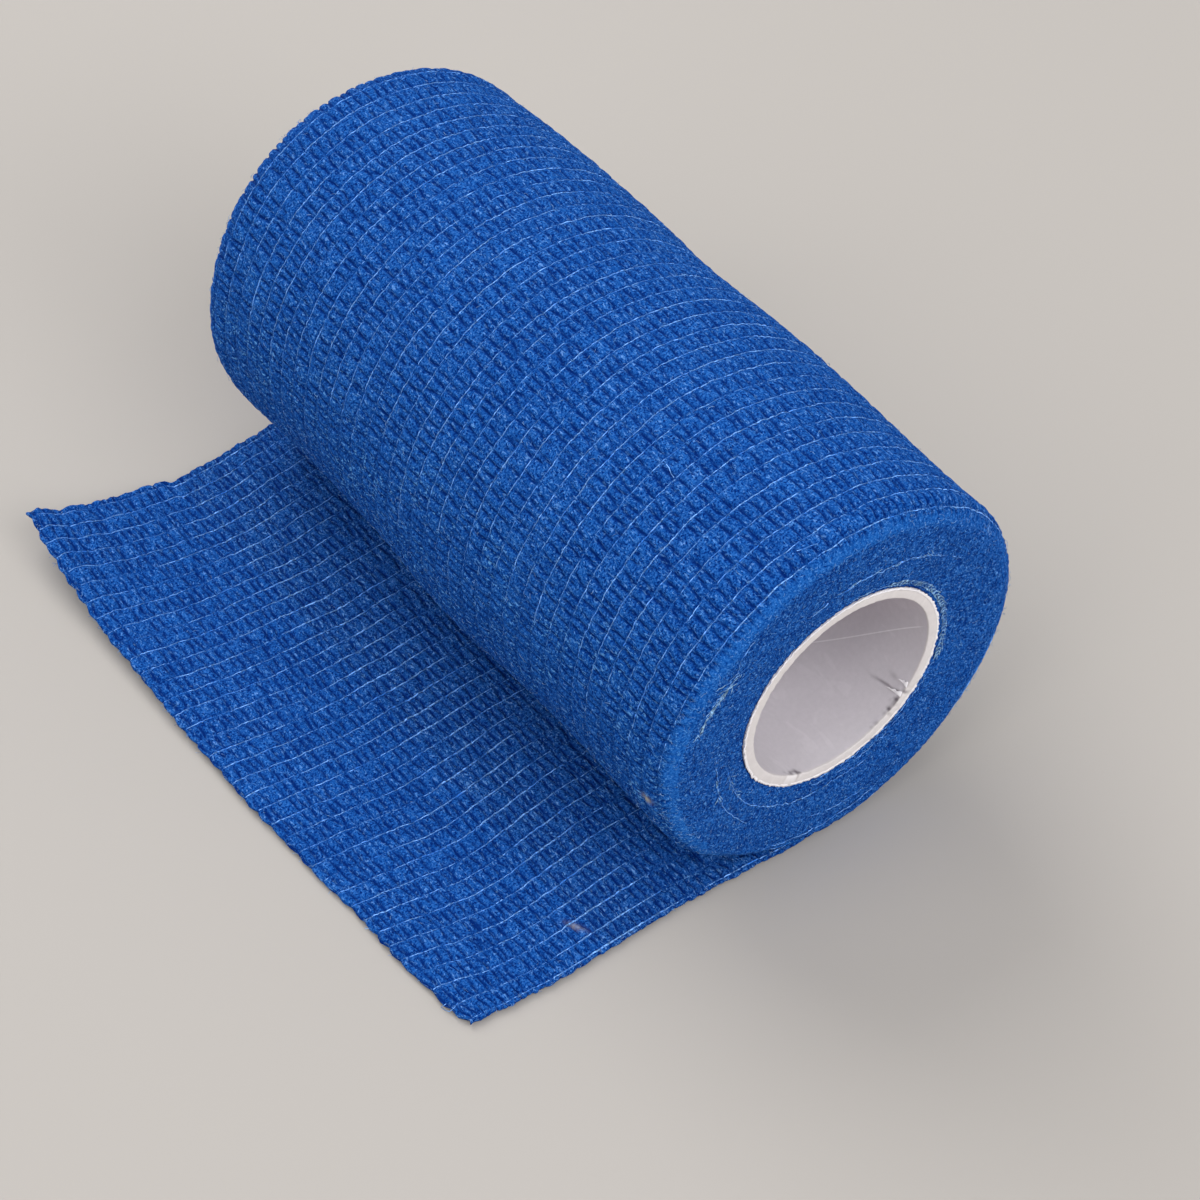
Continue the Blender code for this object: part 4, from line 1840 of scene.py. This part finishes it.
DARK_SPOTS = (
    # The first is a painted shadow beside the short torn sliver; the rest are darker spots along the worn
    # rim.
    DarkSpot(-33.6, 3.1, 0.35, 0.8, 0.28),
    DarkSpot(-41.9, 1.0, 0.30, 0.30, 0.34),
    DarkSpot(-44.5, 1.4, 0.30, 0.35, 0.28),
    DarkSpot(-51.8, 1.1, 0.35, 0.25, 0.40),
    DarkSpot(-48.6, 1.1, 0.25, 0.25, 0.16),
    DarkSpot(-58.6, 0.9, 0.35, 0.25, 0.40),
    DarkSpot(-62.0, 1.0, 0.25, 0.30, 0.25),
    DarkSpot(-114.0, 1.3, 0.30, 0.35, 0.45),
    DarkSpot(-119.0, 1.1, 0.50, 0.30, 0.25),
)


@dataclass
class PaperTube(SubAssembly):
    """The paperboard tube: a spiral-wound wall with a seam in the bore and a torn rim."""

    radius: float = 14.64
    wall: float = 1.45
    inset: float = 0.64
    rounding: float = 0.16
    fine_stretches: tuple = ((-128.0, -106.0), (-70.0, -29.0))
    row_steps: tuple = (1.4, 0.42, 1.3)
    seam_degrees: float = 4.1
    seam_depth: float = 2.2
    seam_rate: float = 0.0762
    tear_degrees: float = -38.2
    tear_lean: float = -0.72
    lip_rows: int = 1241
    flap_rows: int = 22
    flap_columns: int = 7

    @property
    def inner(self) -> float:
        """Radius of the bore."""
        return self.radius - self.wall

    def degrees(self) -> Array:
        """Angles of the wall's rows, closer together where its rim is worn."""
        (low, worn_to), (again, high) = self.fine_stretches
        coarse, fine, last = self.row_steps
        parts = [
            np.arange(-180.0, low, coarse), np.arange(low, worn_to, fine),
            np.arange(worn_to, again, coarse), np.arange(again, high, fine),
            np.arange(high, 179.0, last), [180.0],
        ]
        return np.concatenate(parts)

    def profile(self) -> tuple[Array, Array]:
        """Outline of the wall, from the near outer rim round to it again.

        Returns:
            Radii and places along the axis.
        """
        near, far = self.inset, ROLL.width - self.inset
        turn = np.linspace(0.0, math.pi / 2, 4)
        up, down = self.rounding * (1 - np.sin(turn)), self.rounding * (1 - np.cos(turn))
        bore_y = np.concatenate(
            [np.linspace(far - 0.5, near + 30, 8), np.linspace(near + 24.0, near + 4.0, 24),
             np.linspace(near + 3.6, near + 0.4, 12)]
        )
        radii = [self.radius - up, [self.radius], self.radius - up[::-1], self.inner + up]
        radii += [np.full(len(bore_y), self.inner), self.inner + up[::-1]]
        places = [near + down, [50.0], far - down[::-1], far - down, bore_y, near + down[::-1]]
        radius, y = np.concatenate(radii), np.concatenate(places)
        return np.append(radius, radius[0])[None, :], np.append(y, y[0])[None, :]

    def build(self) -> None:
        """Builds the tube."""
        plain, y = self.profile()
        near, far = self.inset, ROLL.width - self.inset
        degrees = self.degrees()[:, None]
        angle = np.radians(degrees)
        in_bore = (plain < self.inner + 0.5 * self.rounding) & (y < far - 0.3)
        seam_angle = math.radians(self.seam_degrees) - (y - self.seam_depth) * self.seam_rate
        off = ((angle - seam_angle + math.pi) % TURN - math.pi) * self.inner / math.sqrt(2.0)
        fade = ramp(y, 1.2, 1.6) * in_bore
        groove = hill(off, 0.0, 0.3) * fade
        # Where light is painted on the bore wall, beyond the seam.
        beyond = ramp(off, -0.6, 7.0) * ramp(off, 25.0, -8.0) * in_bore
        at_rim = ease((near + 1.3 - y) / 1.2) * (plain < self.inner + 0.7)
        worn = ramp(degrees, -66.0, 8.0) * ramp(degrees, -30.0, -8.0)
        worn = worn + ramp(degrees, -126.0, 5.0) * ramp(degrees, -108.0, -5.0)
        ragged = noise(angle / TURN * 170, y / 0.45, 103, 170) * worn * at_rim
        ragged = ragged * (0.55 + 0.45 * noise(angle / TURN * 60, y / 0.9, 106, 60))
        tear_off = (angle - np.radians(self.tear_degrees + self.tear_lean * (y - near))) * self.inner
        tear_off = tear_off + 0.12 * noise(y / 0.8, y * 0, 105)
        # Painted shade in the groove along the tear.
        scar = hill(tear_off, 0.0, 0.20) * in_bore * ramp(y, 6.8, -3.0) * ramp(y, near, 0.8)
        dark_spots = sum(one.at(degrees, y, self.inner) for one in DARK_SPOTS) * in_bore
        wave = 0.05 * noise(angle / TURN * 12, y / 9.0, 101, 12) * in_bore
        rough = 0.06 * noise(angle / TURN * 180, y * 0 + plain, 102, 180)
        jagged = 0.13 * np.maximum(noise(angle / TURN * 230, plain * 0.0, 104, 230), -0.2) + 0.03
        radius = plain + wave - 0.04 * groove + 0.10 * scar - 0.16 * np.maximum(ragged, 0.0)
        radius = radius + jagged * (plain > self.radius - 0.2) * (y < near + 0.1)
        points = about_axis(radius, angle, y + rough * (y < near + 0.2))
        cut = ((y < near + 0.2) | (y > far - 0.2)) * np.ones_like(angle)
        # Painted shade along the tear and beside the short sliver, darker spots, and darker where the worn
        # rim's ragged noise runs low.
        torn = np.clip(0.6 * scar + dark_spots + 1.3 * np.maximum(-ragged, 0.0), 0.0, 1.0)
        outer_edge = (plain > self.radius - 0.1) * (y < near + 0.2)
        white = np.clip(1.2 * np.maximum(ragged, 0.0) + 0.5 * outer_edge, 0.0, 1.0)
        marks = layers(cut, white, torn, 1.0 - 0.5 * beyond)
        line = np.clip(off, -4.0, 4.0) * in_bore + 4.0 * (1.0 - in_bore)
        lay = layers(line, fade, 0.0)
        points[-1], marks[-1], lay[-1] = points[0], marks[0], lay[0]
        points[:, -1] = points[:, 0]
        mesh = self.from_grid("paper_tube", points, Marks("board", marks, lay))
        self.settle("paper_tube", mesh, "paperboard", "core_tube")

    def torn_paper(self, name: str, points: Array, cut: float, white: float | Array) -> None:
        """Turns a grid of points into a piece of torn paper away from the seam.

        Args:
            name: Name of the piece.
            points: Grid of points in millimetres.
            cut: How far it has the colour of the tube's cut end.
            white: How white its fibres are.
        """
        marks = layers(np.full(points.shape[:2], cut), white, 0.0, 1.0)
        away = np.full(points.shape, 4.0)
        self.settle(name, self.from_grid(name, points, Marks("board", marks, away)), "paperboard")

    def torn_lip(self) -> None:
        """Builds the fringe of white paper fibres round the wall's outer near edge."""
        angle = np.linspace(-math.pi, math.pi, self.lip_rows)[:, None]
        turns = angle / TURN
        fringe = 0.15 * np.maximum(noise(turns * 290, turns * 0.0, 107, 290), -0.4)
        fringe = fringe + 0.06 * noise(turns * 90, turns * 0.0, 108, 90) + 0.05
        corners = np.array([[-0.30, 0.0, -0.06, -0.30, -0.30]])
        flared = np.array([[0.0, 1.0, 1.0, 0.0, 0.0]])
        radius = self.radius + corners + fringe * flared
        y = self.inset + np.array([[-0.02, -0.06, 0.05, 0.10, -0.02]]) + 0.0 * angle
        y = y - 0.05 * flared * noise(turns * 200, turns * 0.0, 109, 200)
        points = about_axis(radius, angle, y)
        points[-1] = points[0]
        self.torn_paper("torn_lip", points, 1.0, 0.45 + 0.55 * flared)

    def torn_flap(self, one: Sliver) -> None:
        """Builds a sliver of paper that has come away from the bore at its near rim.

        Args:
            one: The sliver's place and size.
        """
        depth = np.linspace(0.0, 1.0, self.flap_rows)[:, None]
        across = np.linspace(0.0, 1.0, self.flap_columns)[None, :]
        width = one.width * ((1.0 - depth) ** 0.8 * (1.0 + 0.25 * np.sin(17.0 * depth)) + 0.1)
        lift = one.lift * depth * (0.4 + 0.6 * across) + 0.04 * np.sin(9.0 * depth) + 0.04
        degrees = one.rim_degrees + (one.tip_degrees - one.rim_degrees) * depth
        angle = np.radians(degrees) + (across * width) / self.inner
        y = self.inset + 0.10 + one.depth * depth + 0.15 * across
        wall_side, free_side = (about_axis(self.inner - lift - gap, angle, y) for gap in (0.01, 0.12))
        points = np.concatenate([free_side, wall_side[:, ::-1], free_side[:, :1]], axis=1)
        self.torn_paper(one.name, points, 0.0, 0.8)


@dataclass(frozen=True)
class SoftLight:
    """One square area light, aimed at the roll."""

    name: str
    place: tuple
    size: float
    watts: float


SOFT_LIGHTS = (
    SoftLight("right", (0.8, 0.0, 0.75), 0.9, 1.15),
    SoftLight("left", (-0.8, 0.0, 0.75), 0.9, 4.6),
    SoftLight("front", (0.0, -0.8, 0.75), 0.9, 6.4),
    SoftLight("rear", (0.0, 0.8, 0.75), 0.9, 9.3),
    SoftLight("low_front", (0.35, -1.0, 0.35), 0.8, 3.6),
)


@dataclass(frozen=True)
class Studio:
    """A plain pale floor, soft lights and the camera at the photograph's angle."""

    lens: float = 84.13
    sensor: float = 36.0
    nearest: float = 0.01
    camera_place: tuple = (-0.140876, -0.199704, 0.273904)
    azimuth: float = -38.347
    elevation: float = 47.454
    roll: float = 2.199
    floor_size: float = 6.0
    floor_gap: float = 0.0001
    floor_colour: tuple = colour(178, 173, 168)
    aim: tuple = (0.0, 0.0, 0.02)
    surround: float = 0.26

    def camera(self) -> None:
        """Sets the camera up."""
        data = bpy.data.cameras.new("camera")
        data.lens = self.lens
        data.sensor_width = self.sensor
        data.clip_start = self.nearest
        holder = in_scene("camera", data)
        azimuth, elevation = math.radians(self.azimuth), math.radians(self.elevation)
        back = Vector((
            math.sin(azimuth) * math.cos(elevation),
            -math.cos(azimuth) * math.cos(elevation),
            math.sin(elevation),
        ))
        right = (-back).cross(Vector((0.0, 0.0, 1.0))).normalized()
        up = right.cross(-back)
        cosine, sine = math.cos(math.radians(self.roll)), math.sin(math.radians(self.roll))
        right, up = right * cosine + up * sine, up * cosine - right * sine
        turn = Matrix((right, up, back)).transposed().to_4x4()
        holder.matrix_world = Matrix.Translation(Vector(self.camera_place)) @ turn
        bpy.context.scene.camera = holder

    def floor(self) -> None:
        """Lays the floor."""
        mesh = bpy.data.meshes.new("floor")
        with reworked(mesh) as bm:
            bmesh.ops.create_grid(bm, x_segments=1, y_segments=1, size=self.floor_size / 2)
            bmesh.ops.translate(bm, verts=bm.verts, vec=(0.0, 0.0, -self.floor_gap))
        material = bpy.data.materials.new("floor")
        material.use_nodes = True
        shader = material.node_tree.nodes["Principled BSDF"]
        shader.inputs["Base Color"].default_value = self.floor_colour
        shader.inputs["Roughness"].default_value = 0.9
        mesh.materials.append(material)
        in_scene("floor", mesh)

    def light(self, one: SoftLight) -> None:
        """Hangs a soft square light and turns it to the roll."""
        data = bpy.data.lights.new(one.name, "AREA")
        data.size = one.size
        data.energy = one.watts
        holder = in_scene(one.name, data)
        place = Vector(one.place)
        turn = (place - Vector(self.aim)).to_track_quat("Z", "Y").to_matrix().to_4x4()
        holder.matrix_world = Matrix.Translation(place) @ turn

    def build(self) -> None:
        """Sets the whole studio up."""
        self.camera()
        self.floor()
        for one in SOFT_LIGHTS:
            self.light(one)
        world = bpy.data.worlds.new("studio")
        bpy.context.scene.world = world
        world.use_nodes = True
        back = world.node_tree.nodes["Background"]
        back.inputs[0].default_value = (1.0, 1.0, 1.0, 1.0)
        back.inputs[1].default_value = self.surround
        bpy.context.scene.view_settings.view_transform = "Standard"


def main() -> None:
    """Builds the bandage roll piece by piece."""
    logging.basicConfig(level=logging.INFO, format="%(name)s: %(message)s")
    place = Placement.on_tube(PaperTube.inset)
    Studio().build()
    stains = (
        Mark(21.25, 1.71, 0.32, 1.05, -0.52, 0.50),
        Mark(187.1, 1.77, 0.55, 0.78, 0.38, 0.80),
    )
    cloth = Bandage(place, ClothFinish(), stains=stains)
    cloth.dress()
    cloth.wound_turns()
    cloth.outer_turn()
    cloth.loose_end()
    threads = Threads(place, ThreadFinish())
    threads.dress()
    threads.on_roll()
    threads.on_loose_end()
    threads.on_face("threads_on_face", FACE_THREADS)
    threads.snags()
    fibres = Threads(
        place, ThreadFinish("loose_fibre", pale=colour(130, 168, 212), stained=colour(48, 102, 176))
    )
    fibres.dress()
    frayed = Threads(
        place, ThreadFinish("frayed_fibre", pale=colour(150, 190, 222), stained=colour(80, 132, 200))
    )
    frayed.dress()
    frayed.on_face("chain_round_core", CHAIN_ROUND_CORE)
    frayed.frays()
    fuzz = Fuzz(fibres)
    fuzz.on_roll()
    fuzz.on_loose_end()
    fuzz.on_ends()
    tube = PaperTube(place, PaperboardFinish())
    tube.dress()
    tube.build()
    tube.torn_lip()
    for sliver in SLIVERS:
        tube.torn_flap(sliver)
    bpy.context.view_layer.update()


if __name__ == "__main__":
    main()
